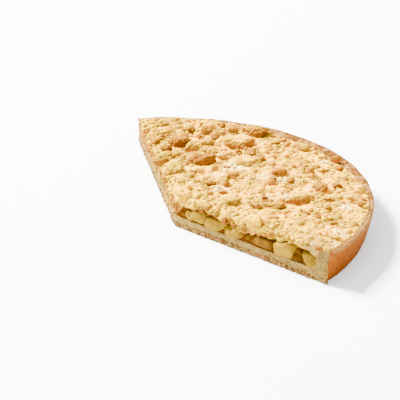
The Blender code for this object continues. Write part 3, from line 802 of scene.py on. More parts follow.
def bed_rows(near, far, signed):
    """The bed's closed profile, row by row: out from under the lip, up the cut, over its rounded
    edge, across the top to the rim, and back underneath.

    A row is its place in plan, its height, how far the way out is upright there, and the share of
    the relief it takes. The results are the rows, the first one on top, and the first one below.
    """
    length = np.linalg.norm(far - near, axis=1)[:, None]
    inward = (far - near) / np.maximum(length, 1e-9)
    droop = CRUMBLE_DROOP * np.clip(waves(near, 24 * MM, SEED + 7), 0, 1)
    droop = np.where(signed > 0, CRUMBLE_BOTTOM - read_off(CRUMBLE_EDGE, signed), droop)
    droop += 1.0 * MM * waves(near, 6 * MM, SEED + 11)
    droop *= smooth_step((rim_distance(near) - 14 * MM) / (8 * MM))
    edge = crumble_bed(near)
    under = crumble_underside(near)
    low = under - droop
    rows = []
    for back in LIP_ROWS:
        lift = smooth_step(back / LIP_ROWS[0])
        plan = near + inward * np.minimum(back * MM, 0.3 * length)
        rows.append((plan, low + (under - low) * lift, 0, 0.25 * (1 - lift)))
    for rise in np.linspace(0, 1, CUT_ROWS, endpoint=False):
        rows.append((near, low + (edge - low) * rise, 0.1 + 0.4 * rise, 0.9))
    on_top = len(rows)
    for share in np.linspace(0, 1, TOP_ROWS):
        plan = near + (far - near) * share
        up = np.clip(0.5 + 0.5 * cut_distance(plan) / CRUMBLE_EDGE_ROUND, 0, 1)
        inner = smooth_step((rim_distance(plan) - rim_distance(far)) / (5 * MM))
        rows.append((plan, crumble_bed(plan) - 0.45 * MM * (1 - inner), up, 0.3 + 0.7 * inner))
    below = len(rows)
    bottom = crumble_underside(far)
    rows.append((far, (rows[-1][1] + bottom) / 2, 0.3, 0.3))
    rows.append((far, bottom, 0, 0))
    start = near + inward * np.minimum(LIP_ROWS[0] * MM, 0.3 * length)
    for share in 1 - np.linspace(0, 1, UNDER_ROWS)[1:-1] ** 1.5:
        plan = start + (far - start) * share
        rows.append((plan, crumble_underside(plan), 0, 0))
    return rows, on_top, below


@lru_cache(maxsize=None)
def bed_surface(columns, relief):
    """The crumble's bed: its closed profile, carried from the left corner over the point to the
    right corner. Clods in four sizes and grain move it out along a direction that turns from level
    at the cut to upright on top, less where it is bare or a section, and a moat lies round each
    lump of the tables. The results are the points by column and row, each one's draw and how deep
    in a crevice it lies, and the first row below."""
    near, far, signed, outward = bed_rails(columns)
    rows, on_top, below = bed_rows(near, far, signed)
    points = np.stack([np.column_stack(row[:2]) for row in rows], axis=1)
    up, share = [np.stack([np.broadcast_to(row[place], columns) for row in rows], axis=1) for place in (2, 3)]
    way = np.concatenate([outward[:, None] * (1 - up[..., None]), up[..., None]], axis=-1)
    way /= np.linalg.norm(way, axis=-1)[..., None]
    flat = points.reshape(-1, 3)
    wander = np.stack([grain(flat, 4.2 * MM, SEED + 64 + axis) for axis in range(3)], axis=1)
    warped = flat + 1.3 * MM * wander
    broad, own_broad = clods(warped, BROAD_CLODS, SEED + 59)
    big, own_big = clods(warped, BIG_CLODS, SEED + 60)
    middle, own_middle = clods(warped, MIDDLE_CLODS, SEED + 61)
    small, _ = clods(flat, SMALL_CLODS, SEED + 62)
    raised = broad * (0.2 + 1.3 * own_broad) - 0.6
    raised = raised + 0.62 * (np.sqrt(big) * (0.3 + 1.2 * own_big) - 0.6)
    raised += 0.34 * (middle * (0.4 + own_middle) - 0.6) + 0.12 * (small - 0.6)
    raised += 0.12 * grain(flat, 0.9 * MM, SEED + 63)
    length = np.linalg.norm(far - near, axis=1)
    room = smooth_step(np.repeat(length, len(rows)) / (12 * MM))
    room = room * (1 - 0.75 * np.maximum(bare_at(flat), section_at(flat)))
    flat = flat + way.reshape(-1, 3) * (relief * raised * share.ravel() * room)[:, None]
    row = np.tile(np.arange(len(rows)), columns)
    moat = LUMP_MOAT_DEPTH * (1 - smooth_step(lump_gap(flat) / LUMP_MOAT_WIDTH))
    floor = crumble_underside(flat) + 0.15 * MM
    lowered = np.maximum(flat[:, 2] - moat, floor)
    flat[:, 2] = np.where((row >= on_top) & (row < below), lowered, flat[:, 2])
    draws = 0.4 * own_broad + 0.35 * own_big + 0.25 * own_middle
    crevice = 1 - 0.3 * broad - 0.4 * big - 0.3 * middle
    return flat.reshape(points.shape), draws, crevice, below


def build_bed(settings):
    """The crumble's bed as one closed mesh, drawn to a point at both corners with the rim."""
    points, draws, crevice, _ = bed_surface(settings.columns, settings.relief)
    columns, rows = points.shape[:2]
    inner = points[1:-1].reshape(-1, 3)
    own = draws[rows:-rows] - 0.5
    crevice = crevice[rows:-rows]
    ring = np.arange(rows)
    after = (ring + 1) % rows
    last = (columns - 3) * rows
    strips = ring_faces(columns - 2, rows)[:, [0, 3, 2, 1]]
    left_end = np.column_stack([np.full(rows, len(inner)), ring, after])
    right_end = np.column_stack([np.full(rows, len(inner) + 1), after + last, ring + last])
    normal = np.cross(np.gradient(points, axis=1), np.gradient(points, axis=0))
    steep = 1 - np.abs(normal[..., 2]) / np.maximum(np.linalg.norm(normal, axis=-1), 1e-12)
    steep = steep[1:-1].ravel()
    # Painted shade in part: the bed is drawn browner deep in its crevices, which is painted shade, and on its
    # steep sides, which is partly real toasting and partly painted shade.
    toast = toasting_at(inner) + own + 0.12 * crevice + 0.1 * steep
    sugar = sugar_at(inner) * (1 - 0.4 * crevice) * (1 - 0.9 * steep)
    put_mesh("crumble_bed", np.vstack([inner, points[[0, -1]].mean(axis=1)]),
             [*strips.tolist(), *left_end.tolist(), *right_end.tolist()],
             {"toast": np.append(toast, [0.3, 0.3]), "sugar": np.append(sugar, [0, 0]),
              "bare": np.append(bare_at(inner), [1, 1]), "section": np.append(section_at(inner), [0, 1]),
              "butter": np.append(butter_at(inner) + 0.8 * own, [0.3, 0.3])},
             crumble_material("crumble_bed", settings), ["crumble_topping"])


# Lumps and crumbs

@lru_cache(maxsize=None)
def ball(level):
    """The points and triangles of an evenly divided ball of radius one."""
    model = bmesh.new()
    bmesh.ops.create_icosphere(model, subdivisions=level, radius=1)
    points = np.array([vertex.co[:] for vertex in model.verts])
    faces = np.array([[vertex.index for vertex in face.verts] for face in model.faces])
    model.free()
    return points, faces


def many_lumps(level, centres, half_sizes, turns, tilts, seed):
    """Uneven lumps as one array: a ball's points, drawn in to a dozen planes of each lump's own
    with softened edges, pushed out and in by clods and grain, stretched to their half sizes,
    tilted and turned, and moved to their centres. The results are the points by lump, the faces
    of all, and how far up each point faces."""
    points, faces = ball(level)
    count = len(centres)
    finest = level > 4
    draw = np.random.RandomState(seed)
    planes = draw.normal(size=(count, LUMP_PLANES, 3))
    away = draw.uniform(0.66, 1.0, (count, LUMP_PLANES, 1)) * (1.22 if finest else 1)
    planes /= np.linalg.norm(planes, axis=2, keepdims=True) * away
    block = drawn_in(points, planes, 12, 0.85)
    flat = (points[None] + draw.uniform(0, 900, (count, 1, 3))).reshape(-1, 3)
    domes, _ = clods(flat, 0.7, seed)
    grains = 0.14 * grain(flat, 0.4, seed + 1) + 0.12 * grain(flat, 0.2, seed + 2)
    shape = 1 + (0.3 * (domes - 0.75) + grains)
    if finest:
        shape += 0.09 * grain(flat, 0.11, seed + 3)
    shape = shape * block.ravel()
    x, y, z = np.moveaxis(points[None] * shape.reshape(count, -1, 1) * half_sizes[:, None], -1, 0)
    cos, sin = np.cos(tilts)[:, None], np.sin(tilts)[:, None]
    x, z = x * cos - z * sin, x * sin + z * cos
    cos, sin = np.cos(turns)[:, None], np.sin(turns)[:, None]
    placed = np.stack([x * cos - y * sin, x * sin + y * cos, z], axis=-1)
    upward = placed[..., 2] / np.maximum(np.linalg.norm(placed, axis=-1), 1e-9)
    joined = (faces[None] + (np.arange(count) * len(points))[:, None, None]).reshape(-1, 3)
    return placed + centres[:, None], joined, upward


def put_lumps(name, settings, lumps, side_toast_and_shade, top_toast, own_butter, sugar_share=1.0):
    """Lumps as a piece of crumble. Toasting goes from a lump's sides to its top as the surface
    turns up, and the browner sides are partly real toasting and partly painted shade. Sugar lies on
    what faces up, and a lump is as yellow as the bed there and by a share of its own."""
    placed, faces, upward = lumps
    flat = placed.reshape(-1, 3)
    rise = smooth_step((upward - 0.16) / 0.5)
    browned = side_toast_and_shade[:, None] + (top_toast - side_toast_and_shade)[:, None] * rise
    browned += 0.07 * grain(flat, 2.2 * MM, SEED + 70).reshape(upward.shape)
    sugar = sugar_share * sugar_at(flat).reshape(upward.shape) * smooth_step((upward + 0.1) / 0.8)
    butter = butter_at(flat) + np.repeat(own_butter, upward.shape[1])
    put_mesh(name, flat, faces.tolist(), {"toast": browned.ravel(), "sugar": sugar.ravel(), "butter": butter},
             crumble_material(name, settings))


def drawn_sizes(draw, count, *ranges):
    """Drawn sizes for each of a count of lumps, one within each range."""
    return np.column_stack([draw.uniform(low, high, count) for low, high in ranges])


def build_large_lumps(settings):
    """The lumps that stand out most, where and as large as they are on the solids."""
    x, y, length, width, height, turn, sides, top = np.array(LARGE_LUMPS).T
    place = np.column_stack([x, y]) * MM
    half = np.column_stack([length / 2, width / 2, 0.9 * height]) * MM
    middle = crumble_bed(place) + 0.34 * (height * MM)
    middle = np.maximum(middle, crumble_underside(place) + half[:, 2] * 1.15)
    middle = np.minimum(middle, CAD_TOP - 0.92 * half[:, 2])
    tilts = np.random.RandomState(SEED + 80).uniform(-0.12, 0.12, len(x))
    centres = np.column_stack([place, middle])
    lumps = many_lumps(5, centres, half * 0.98, np.radians(turn), tilts, SEED + 81)
    put_lumps("large_lumps", settings, lumps, 0.8 * sides, 0.94 * top, np.full(len(x), 0.1), 0.45)


def build_toasted_lumps(settings):
    """The smaller toasted lumps, each half sunk into the bed, and more of them at drawn spots."""
    x, y, width, toast = np.array(TOASTED_LUMPS).T
    draw = np.random.RandomState(SEED + 85)
    more, _ = spots_on_bed(settings.toasted, settings, SEED + 86)
    more = more[clear_of_lumps(more, 3.4 * MM) & (bare_at(more) < 0.2) & (rim_distance(more) > 17 * MM)]
    place = np.vstack([np.column_stack([x, y]) * MM, more[:, :2]])
    width = np.append(width, 2.4 + 3.8 * draw.uniform(0, 1, len(more)) ** 1.8) * MM
    toast = np.append(toast, draw.uniform(0.3, 0.8, len(more)))
    count = len(place)
    half = width[:, None] / 2 * drawn_sizes(draw, count, (0.95, 1.15), (0.8, 1.0), (0.6, 0.8))
    height = crumble_bed(place) + 0.7 * half[:, 2]
    height[len(x):] = more[:, 2] + 0.25 * half[len(x):, 2]
    centres = np.column_stack([place, np.minimum(height, CAD_TOP - 1.2 * half.max(axis=1))])
    turns = np.radians(60) + draw.uniform(-0.7, 0.7, count)
    lumps = many_lumps(3, centres, half, turns, draw.uniform(-0.3, 0.3, count), SEED + 87)
    put_lumps("toasted_lumps", settings, lumps, 0.86 * toast, 0.84 * toast, 0 * toast, 0.15)


def lump_gap(points):
    """How far outside the nearest lump of the two tables each point lies in plan, or inside it as
    less than 0: the distance from the lump's middle less the lump's reach that way."""
    gap = np.full(len(points), np.inf)
    rounds = [(x, y, width, width, 0, 0) for x, y, width, _ in TOASTED_LUMPS]
    for x, y, length, width, _, turn, *_ in LARGE_LUMPS + rounds:
        offset = points[:, :2] - np.array([x, y]) * MM
        share = np.hypot(offset @ unit(turn) / (length / 2 * MM), offset @ unit(turn + 90) / (width / 2 * MM))
        gap = np.minimum(gap, np.linalg.norm(offset, axis=1) * (1 - 1 / np.maximum(share, 1e-6)))
    return gap


def clear_of_lumps(points, width):
    """Whether crumbs of these widths leave the lumps' tops and their front sides free."""
    return np.minimum(lump_gap(points), lump_gap(points - TOWARD_FRONT * 2.6 * MM)) > 0.3 * width


def spots_on_bed(count, settings, seed):
    """Drawn spots on what faces out of the bed: each patch of its grid is as likely as its area.
    The results are the spots and the way out of the surface there."""
    points, _, _, below = bed_surface(settings.columns, settings.relief)
    out = points[:, len(LIP_ROWS):below]
    normal = np.cross(out[1:, 1:] - out[:-1, :-1], out[:-1, 1:] - out[1:, :-1]) / 2
    area = np.linalg.norm(normal, axis=-1)
    normal /= np.maximum(area, 1e-12)[..., None]
    chance = np.cumsum(area.ravel())
    draw = np.random.RandomState(seed)
    pick = np.searchsorted(chance, draw.uniform(0, chance[-1], count))
    column, row = np.unravel_index(np.minimum(pick, area.size - 1), area.shape)
    blend = draw.uniform(0, 1, (count, 1))
    spots = out[column, row] * blend + out[column + 1, row + 1] * (1 - blend)
    way = normal[column, row]
    return spots, way * np.where(way[:, 2:] < 0, -1, 1)


def spots_on_rim(count, seed):
    """Drawn spots on the rim's top between its outer edge and the crumble, with the way up. Some
    are spread evenly over the rim's left part, and the others crowd towards the right corner."""
    draw = np.random.RandomState(seed)
    part = draw.uniform(0, 1, count)
    part = np.where(draw.uniform(0, 1, count) < RIM_CRUMBS_ON_LEFT, 0.55 + 0.45 * part, part ** 2.2)
    toward = unit(RIGHT_CUT_DEG + 0.5 + (LEFT_CUT_DEG - RIGHT_CUT_DEG - 4) * part)
    edge = PIE_CENTRE + PIE_RADIUS * toward
    inset = 1.5 * MM + (crumble_inset(edge) + 2 * MM) * draw.uniform(0, 1, count) ** 0.7
    place = edge - toward * inset[:, None]
    height = wall_inside(place) - np.clip(2.6 * MM - inset, 0, None) * 0.4
    return np.column_stack([place, height]), np.tile([0.0, 0.0, 1.0], (count, 1))


def spots_on_cut(count, seed):
    """Drawn spots on the crumble's face at both cuts from its lower edge up, near the point down to
    the base, and at the right corner over the top of the wall, with the way out."""
    draw = np.random.RandomState(seed)
    right = draw.uniform(0, 1, count) < CUT_CRUMBS_ON_RIGHT
    direction = np.where(right[:, None], RIGHT_CUT, LEFT_CUT)
    inward = np.where(right[:, None], RIGHT_CUT_INWARD, LEFT_CUT_INWARD)
    length = np.where(right, cut_length(RIGHT_CUT) - 3 * MM, cut_length(LEFT_CUT) - 14 * MM)
    part = draw.uniform(0, 1, count)
    part = np.where(draw.uniform(0, 1, count) < CUT_CRUMBS_NEAR_POINT, 0.1 * part, part)
    along = 0.8 * MM + length * part
    near_point = along < 8 * MM
    over_wall = right & (along > 106 * MM)
    over_base = BASE_TOP + 0.2 * MM
    left_edge = 10.4 * MM
    low = np.where(right, read_off(CRUMBLE_EDGE, along), left_edge) + 1.2 * MM
    climb = smooth_step((along - 5.5 * MM) / (3 * MM))
    low = np.where(near_point, over_base + (low - over_base) * climb, low)
    low = np.where(over_wall, 21.8 * MM, low)
    high = np.where(over_wall, 22.8, 21.6) * MM
    height = low + (high - low) * draw.uniform(0, 1, count) ** np.where(near_point, 1.0, 1.4)
    back = (0.3 + 1.2 * draw.uniform(0, 1, count)) * MM
    place = CUTS_MEET_AT + direction * along[:, None] + inward * back[:, None]
    return np.column_stack([place, height]), np.column_stack([-inward, np.full(count, 0.4)])


def build_crumbs(name, counts, settings):
    """Crumbs of one kind, scattered in their counts over the bed, the rim's top and the crumble's
    cut faces, fewer where it is bare: small ones are commoner than large ones, and each has its own
    size, turn and toasting, which differs as much as the kind's variety says."""
    least, greatest, level, lift, variety, seed = CRUMB_KINDS[name]
    least, greatest = least * MM, greatest * MM
    draw = np.random.RandomState(seed + 1)
    groups = [spots_on_bed(counts[0], settings, seed), spots_on_rim(counts[1], seed + 3),
              spots_on_cut(counts[2], seed + 4)]
    spots, normal = [np.vstack(kind) for kind in zip(*groups)]
    room = np.minimum(rim_distance(spots) - 2.0 * MM, cut_distance(spots) + 3.5 * MM)
    width = least + (greatest - least) * draw.uniform(0, 1, len(spots)) ** 2
    width *= 0.85 + 0.35 * smooth_step((10 * MM - spots[:, 0]) / (70 * MM))
    width = np.minimum(width, 0.9 * room + 0.4 * least)
    outward = spots[:, :2] - PIE_CENTRE
    outward /= np.linalg.norm(outward, axis=1)[:, None]
    bare_beyond = bare_at(spots[:, :2] + 1.3 * width[:, None] * outward) * (spots[:, 0] < 60 * MM)
    bare = np.maximum(bare_at(spots), bare_beyond) * (0.65 + 0.35 * smooth_step(width / (3 * MM)))
    kept = clear_of_lumps(spots, width) & (room > 0.45 * least)
    kept &= bare < draw.uniform(0, 1, len(spots))
    spots, normal, width = spots[kept], normal[kept], width[kept]
    count = len(spots)
    half = width[:, None] / 2 * drawn_sizes(draw, count, (0.9, 1.35), (0.8, 1.1), (0.55, 0.85))
    centres = spots + normal * (lift * half[:, 2:])
    turns = draw.uniform(0, 2 * np.pi, count)
    tilts = draw.uniform(-0.6, 0.6, count)
    centres[:, 2] = np.minimum(centres[:, 2], CAD_TOP - 1.2 * half.max(axis=1))
    lumps = many_lumps(level, centres, half, turns, tilts, seed + 2)
    toast = toasting_at(spots) + variety * (0.06 + 0.9 * draw.uniform(0, 1, count) ** 2.7)
    own_butter = draw.uniform(-0.5, 0.5, count)
    # The sides are drawn browner than the tops: partly real toasting and partly painted shade.
    put_lumps(name, settings, lumps, toast + 0.15 * variety, toast - 0.1 * variety, own_butter)


# Shader building

class Wiring:
    """Short ways to add nodes to one shader tree. Every input is a socket, a number, a vector or a
    colour, and places is the socket with the coordinates that textures use."""

    def __init__(self, tree, places=None):
        self.tree = tree
        self.places = places

    def put(self, target, value):
        """Link a socket to an input, or set the input to a value."""
        if isinstance(value, bpy.types.NodeSocket):
            self.tree.links.new(target, value)
        elif target.type == "RGBA":
            target.default_value = (*value, 1)
        else:
            target.default_value = value

    def node(self, kind, inputs, **options):
        """A new node with its options set, and its inputs by name or by number."""
        made = self.tree.nodes.new(kind)
        for key, value in options.items():
            setattr(made, key, value)
        for key, value in inputs.items():
            self.put(made.inputs[key], value)
        return made

    def math(self, operation, first, second, clamp=False):
        """The result of a Math node."""
        inputs = {0: first, 1: second}
        return self.node("ShaderNodeMath", inputs, operation=operation, use_clamp=clamp).outputs[0]

    def times(self, first, second, clamp=False):
        """The product of both."""
        return self.math("MULTIPLY", first, second, clamp)

    def plus(self, first, second, clamp=False):
        """The sum of both."""
        return self.math("ADD", first, second, clamp)

    def minus(self, first, second):
        """The first less the second."""
        return self.math("SUBTRACT", first, second)

    def mix(self, factor, first, second, blend="MIX"):
        """The result of a colour Mix node, whose colour inputs have the numbers 6 and 7."""
        inputs = {0: factor, 6: first, 7: second}
        return self.node("ShaderNodeMix", inputs, data_type="RGBA", blend_type=blend).outputs[2]

    def noise(self, scale, detail=2.0, roughness=0.5, output="Fac"):
        """A Noise Texture's value at this many grains a metre."""
        inputs = {"Vector": self.places, "Scale": scale, "Detail": detail, "Roughness": roughness}
        return self.node("ShaderNodeTexNoise", inputs).outputs[output]

    def spread(self, value, low, high):
        """A value stretched so that low becomes 0 and high becomes 1, clamped."""
        inputs = {"Value": value, "From Min": low, "From Max": high}
        return self.node("ShaderNodeMapRange", inputs).outputs["Result"]

    def split(self, vector):
        """The three parts of a vector."""
        return self.node("ShaderNodeSeparateXYZ", {"Vector": vector}).outputs

    def attribute(self, name):
        """The value of a mesh attribute."""
        return self.node("ShaderNodeAttribute", {}, attribute_name=name).outputs["Fac"]

    def group(self, name, inputs):
        """The outputs of a node group, which is made at its first use."""
        group = bpy.data.node_groups.get(name) or make_group(name, *GROUPS[name])
        return self.node("ShaderNodeGroup", inputs, node_tree=group).outputs


def make_group(name, wire, inputs, outputs):
    """A new shader node group with named sockets. An input is its kind and, where it has one, its
    default, and an output is its kind."""
    tree = bpy.data.node_groups.new(name, "ShaderNodeTree")
    for label, (kind, *default) in inputs.items():
        socket = tree.interface.new_socket(name=label, in_out="INPUT", socket_type=kind)
        if default:
            socket.default_value = default[0]
    for label, kind in outputs.items():
        tree.interface.new_socket(name=label, in_out="OUTPUT", socket_type=kind)
    start = tree.nodes.new("NodeGroupInput").outputs
    end = tree.nodes.new("NodeGroupOutput").inputs
    add = Wiring(tree, start.get("Vector"))
    for label, value in wire(add, start).items():
        add.put(end[label], value)
    return tree


def dough_grain(add, start):
    """Baked dough's grain: coarse and fine noise and small open pores, as a height and a mask."""
    size = start["Grain size"]
    grains = add.noise(size, 4, 0.65)
    cells = add.node("ShaderNodeTexVoronoi", {"Vector": add.places, "Scale": add.times(size, 0.7)})
    pore = add.minus(1.0, add.spread(cells.outputs["Distance"], 0.08, 0.3))
    pore = add.times(pore, start["Pores"], clamp=True)
    speckle = add.spread(add.noise(add.times(size, 1.9)), 0.3, 0.72)
    return {"Height": add.minus(grains, pore), "Pore mask": pore, "Speckle": speckle}


def toasting(add, start):
    """Toasting from pale through golden and orange to brown, broken up by a speckle."""
    amount = add.plus(start["Amount"], add.times(add.minus(start["Speckle"], 0.5), 0.1))
    colour = start["Pale"]
    for label, low, high in (("Golden", 0.1, 0.5), ("Orange", 0.48, 0.68), ("Brown", 0.74, 1.05)):
        colour = add.mix(add.spread(amount, low, high), colour, start[label])
    return {"Color": colour}


def bare_rim(add, start):
    """The bare rim's colour: tan with soft browner patches, paler towards the right corner, and a
    few fine dark specks."""
    patches = add.spread(add.noise(130, 3, 0.55), 0.36, 0.5)
    from_corner = add.minus(1.0, add.spread(add.split(add.places)["X"], 0.05, 0.12))
    patches = add.times(patches, add.plus(add.times(from_corner, 0.65), 0.35))
    colour = add.mix(patches, start["Tan"], start["Patch"])
    specks = add.spread(add.noise(700, 2, 0.6), 0.6, 0.74)
    return {"Color": add.mix(add.times(specks, 0.6), colour, start["Patch"])}


VECTOR, FLOAT, COLOUR = "NodeSocketVector", "NodeSocketFloat", "NodeSocketColor"
GROUPS = {
    "Dough grain": (dough_grain, {"Vector": (VECTOR,), "Grain size": (FLOAT, 900.0), "Pores": (FLOAT, 0.5)},
                    {"Height": FLOAT, "Pore mask": FLOAT, "Speckle": FLOAT}),
    "Toasting": (toasting, {"Amount": (FLOAT, 0.3), "Speckle": (FLOAT, 0.5), "Pale": (COLOUR,),
                            "Golden": (COLOUR,), "Orange": (COLOUR,), "Brown": (COLOUR,)},
                 {"Color": COLOUR}),
    "Bare rim": (bare_rim, {"Vector": (VECTOR,), "Tan": (COLOUR,), "Patch": (COLOUR,)}, {"Color": COLOUR}),
}


def start_material(name):
    """A new material, and the wiring of its nodes with the Object coordinates."""
    material = bpy.data.materials.new(name)
    material.use_nodes = True
    places = material.node_tree.nodes.new("ShaderNodeTexCoord").outputs["Object"]
    return material, Wiring(material.node_tree, places)


def set_shader(add, colour, roughness, gloss, scatter=(), bump=()):
    """Set the material's shader. Scatter is the weight, the radius and the scale of light under
    the surface, and bump is a height, its strength and its distance."""
    inputs = {"Base Color": colour, "Roughness": roughness, "Specular IOR Level": gloss}
    inputs.update(zip(("Subsurface Weight", "Subsurface Radius", "Subsurface Scale"), scatter))
    if bump:
        relief = add.node("ShaderNodeBump", dict(zip(("Height", "Strength", "Distance"), bump)))
        inputs["Normal"] = relief.outputs["Normal"]
    for key, value in inputs.items():
        add.put(add.tree.nodes["Principled BSDF"].inputs[key], value)


def bare_rim_colour(add, pastry):
    """The bare rim's colour with the pastry's two colours."""
    inputs = {"Vector": add.places, "Tan": pastry.rim, "Patch": pastry.rim_patch}
    return add.group("Bare rim", inputs)["Color"]


def crumble_material(name, settings):
    """Butter crumble: pale to toasted dough with a sandy grain, dusted with sugar. The bare part of
    the bed has the rim's colour, and its section the dough's."""
    material, add = start_material(name)
    pastry = bpy.context.scene.crumble_pie.pastry
    # The toast attribute carries real toasting and also painted shade: in the bed's crevices, on the sides of
    # lumps and crumbs, and under the crumble's lower edge at the cuts.
    toast = add.attribute("toast")
    grains = add.group("Dough grain", {"Vector": add.places, "Grain size": 1100, "Pores": 0.35})
    colour = add.group("Toasting", {"Amount": toast, "Speckle": grains["Speckle"], "Pale": settings.pale,
                                    "Golden": settings.golden, "Orange": settings.orange,
                                    "Brown": settings.brown})["Color"]
    colour = add.mix(add.times(grains["Pore mask"], 0.25), colour, settings.golden, "MULTIPLY")
    buttery = add.times(add.minus(add.attribute("butter"), 0.5), 0.5)
    yellow = add.spread(add.plus(add.noise(120), buttery), 0.32, 0.62)
    untoasted = add.minus(1.0, add.times(add.spread(toast, 0.4, 0.7), 0.65))
    tint = add.mix(add.times(yellow, untoasted), (1.03, 0.98, 1.4), (0.73, 0.83, 0.03))
    colour = add.mix(1.0, colour, tint, "MULTIPLY")
    dusty = add.plus(add.attribute("sugar"), add.times(add.minus(add.noise(380, 3), 0.5), 0.7))
    dusty = add.times(add.spread(dusty, 0.26, 1.1), settings.sugar)
    colour = add.mix(dusty, colour, settings.sugar_colour)
    colour = add.mix(add.attribute("bare"), colour, bare_rim_colour(add, pastry))
    colour = add.mix(add.attribute("section"), colour, pastry.dough)
    set_shader(add, colour, roughness=0.9, gloss=0.0, scatter=(0.25, (1.0, 0.6, 0.2), 0.002),
               bump=(grains["Height"], 0.55, 0.0005))
    return material


def skin_colour(add, grains, height, settings):
    """The baked skin: browned, darker towards the foot, in clouds, in pits and in blotches, with the
    bare rim's colour on top, carried over the rounded outer edge as a pale line of painted highlight."""
    deep = settings.wall_deep
    low_part = add.minus(1.0, add.spread(height, 0.001, 0.018))
    cloudy = add.spread(add.noise(60, 3), 0.35, 0.7)
    share = add.plus(add.times(low_part, 0.6), add.times(cloudy, 0.45))
    skin = add.mix(share, settings.wall, deep)
    skin = add.mix(add.times(grains["Pore mask"], 0.55), skin, deep)
    blotch = add.spread(add.noise(240, 4, 0.6), 0.45, 0.75)
    skin = add.mix(add.times(blotch, 0.6), skin, deep)
    return add.mix(add.attribute("rim"), skin, bare_rim_colour(add, settings))


def dough_colour(add, grains, height, settings):
    """The cut dough: pale with a warm grain, dark and pink grains along the bottom, darker just under
    the filling, where it is soaked with glaze and where painted shade lies in the crease, and with fine
    cracks in the section of the wall."""
    section = add.attribute("section")
    cloudy = add.spread(add.noise(190, 3), 0.35, 0.7)
    warm = add.plus(add.times(grains["Speckle"], 0.3), add.times(cloudy, 0.4))
    warm = add.plus(warm, add.times(section, 0.3), clamp=True)
    dough = add.mix(warm, settings.dough, settings.dough_warm)
    crumbs = add.node("ShaderNodeTexVoronoi", {"Vector": add.places, "Scale": 760})
    own = add.split(crumbs.outputs["Color"])
    at_bottom = add.minus(1.0, add.spread(height, 0.0030, 0.0048))
    dark_grain = add.times(at_bottom, add.spread(own["X"], 0.42, 0.7))
    dough = add.mix(add.times(dark_grain, 0.85), dough, settings.edge)
    pink_grain = add.times(at_bottom, add.spread(own["Y"], 0.6, 0.85))
    dough = add.mix(add.times(pink_grain, 0.6), dough, settings.rim)
    # A darker mottled band just under the filling: glaze soaked into the dough, and painted shade of the
    # crease under the filling.
    near_filling = add.times(add.spread(height, 0.0054, 0.0070), add.spread(add.noise(170, 3), 0.4, 0.62))
    soaked_and_shaded = add.times(add.times(near_filling, add.minus(1.0, section)), 0.75)
    dough = add.mix(soaked_and_shaded, dough, settings.soaked_and_shaded)
    shift = add.node("ShaderNodeVectorMath", {0: add.noise(500, output="Color"), "Scale": 0.003},
                     operation="SCALE")
    warp = add.node("ShaderNodeVectorMath", {0: add.places, 1: shift.outputs["Vector"]}, operation="ADD")
    cracks = add.node("ShaderNodeTexVoronoi", {"Vector": warp.outputs["Vector"], "Scale": 330},
                      feature="DISTANCE_TO_EDGE")
    thin = add.minus(1.0, add.spread(cracks.outputs["Distance"], 0.02, 0.12))
    cracked = add.times(add.times(thin, add.spread(add.noise(150), 0.5, 0.65)), section)
    return add.mix(cracked, dough, settings.edge)


def case_material(settings):
    """Shortcrust: browned and lightly pitted outside, pale and crumbly where it is cut."""
    material, add = start_material("shortcrust")
    grains = add.group("Dough grain", {"Vector": add.places, "Grain size": 850, "Pores": 0.5})
    height = add.split(add.places)["Z"]
    dough = dough_colour(add, grains, height, settings)
    colour = add.mix(add.attribute("baked"), dough, skin_colour(add, grains, height, settings))
    set_shader(add, colour, roughness=0.75, gloss=0.01, scatter=(0.08, (1.0, 0.6, 0.3), 0.001),
               bump=(grains["Height"], 0.45, 0.0003))
    return material


def glaze_material(settings):
    """Set apple glaze: amber brown near the cut, darkened to dark brown where it lies back in the hollows as
    painted shade.
    """
    material, add = start_material("apple_glaze")
    depth = add.plus(add.attribute("depth"), add.times(add.noise(220, 3), 0.35))
    colour = add.mix(add.spread(depth, 0.35, 1.0), settings.glaze, settings.glaze_hollow_shade)
    set_shader(add, colour, roughness=0.5, gloss=0.005, scatter=(0.1, (1.0, 0.45, 0.12), 0.0015),
               bump=(add.noise(500, 3), 0.35, 0.0005))
    return material


def apple_material(settings):
    """Cooked apple: yellow flesh that is browner in places, and browner towards each piece's outline as
    painted shade, with a fine grain.
    """
    material, add = start_material("cooked_apple")
    tone = add.plus(add.attribute("tone"), add.times(add.minus(add.noise(260, 4), 0.5), 0.7))
    colour = add.mix(add.spread(tone, 0.05, 0.95), settings.apple, settings.apple_browned_and_shaded)
    set_shader(add, colour, roughness=0.5, gloss=0.01, scatter=(0.15, (1.0, 0.7, 0.25), 0.002),
               bump=(add.noise(900, 4), 0.3, 0.0003))
    return material


# The stage

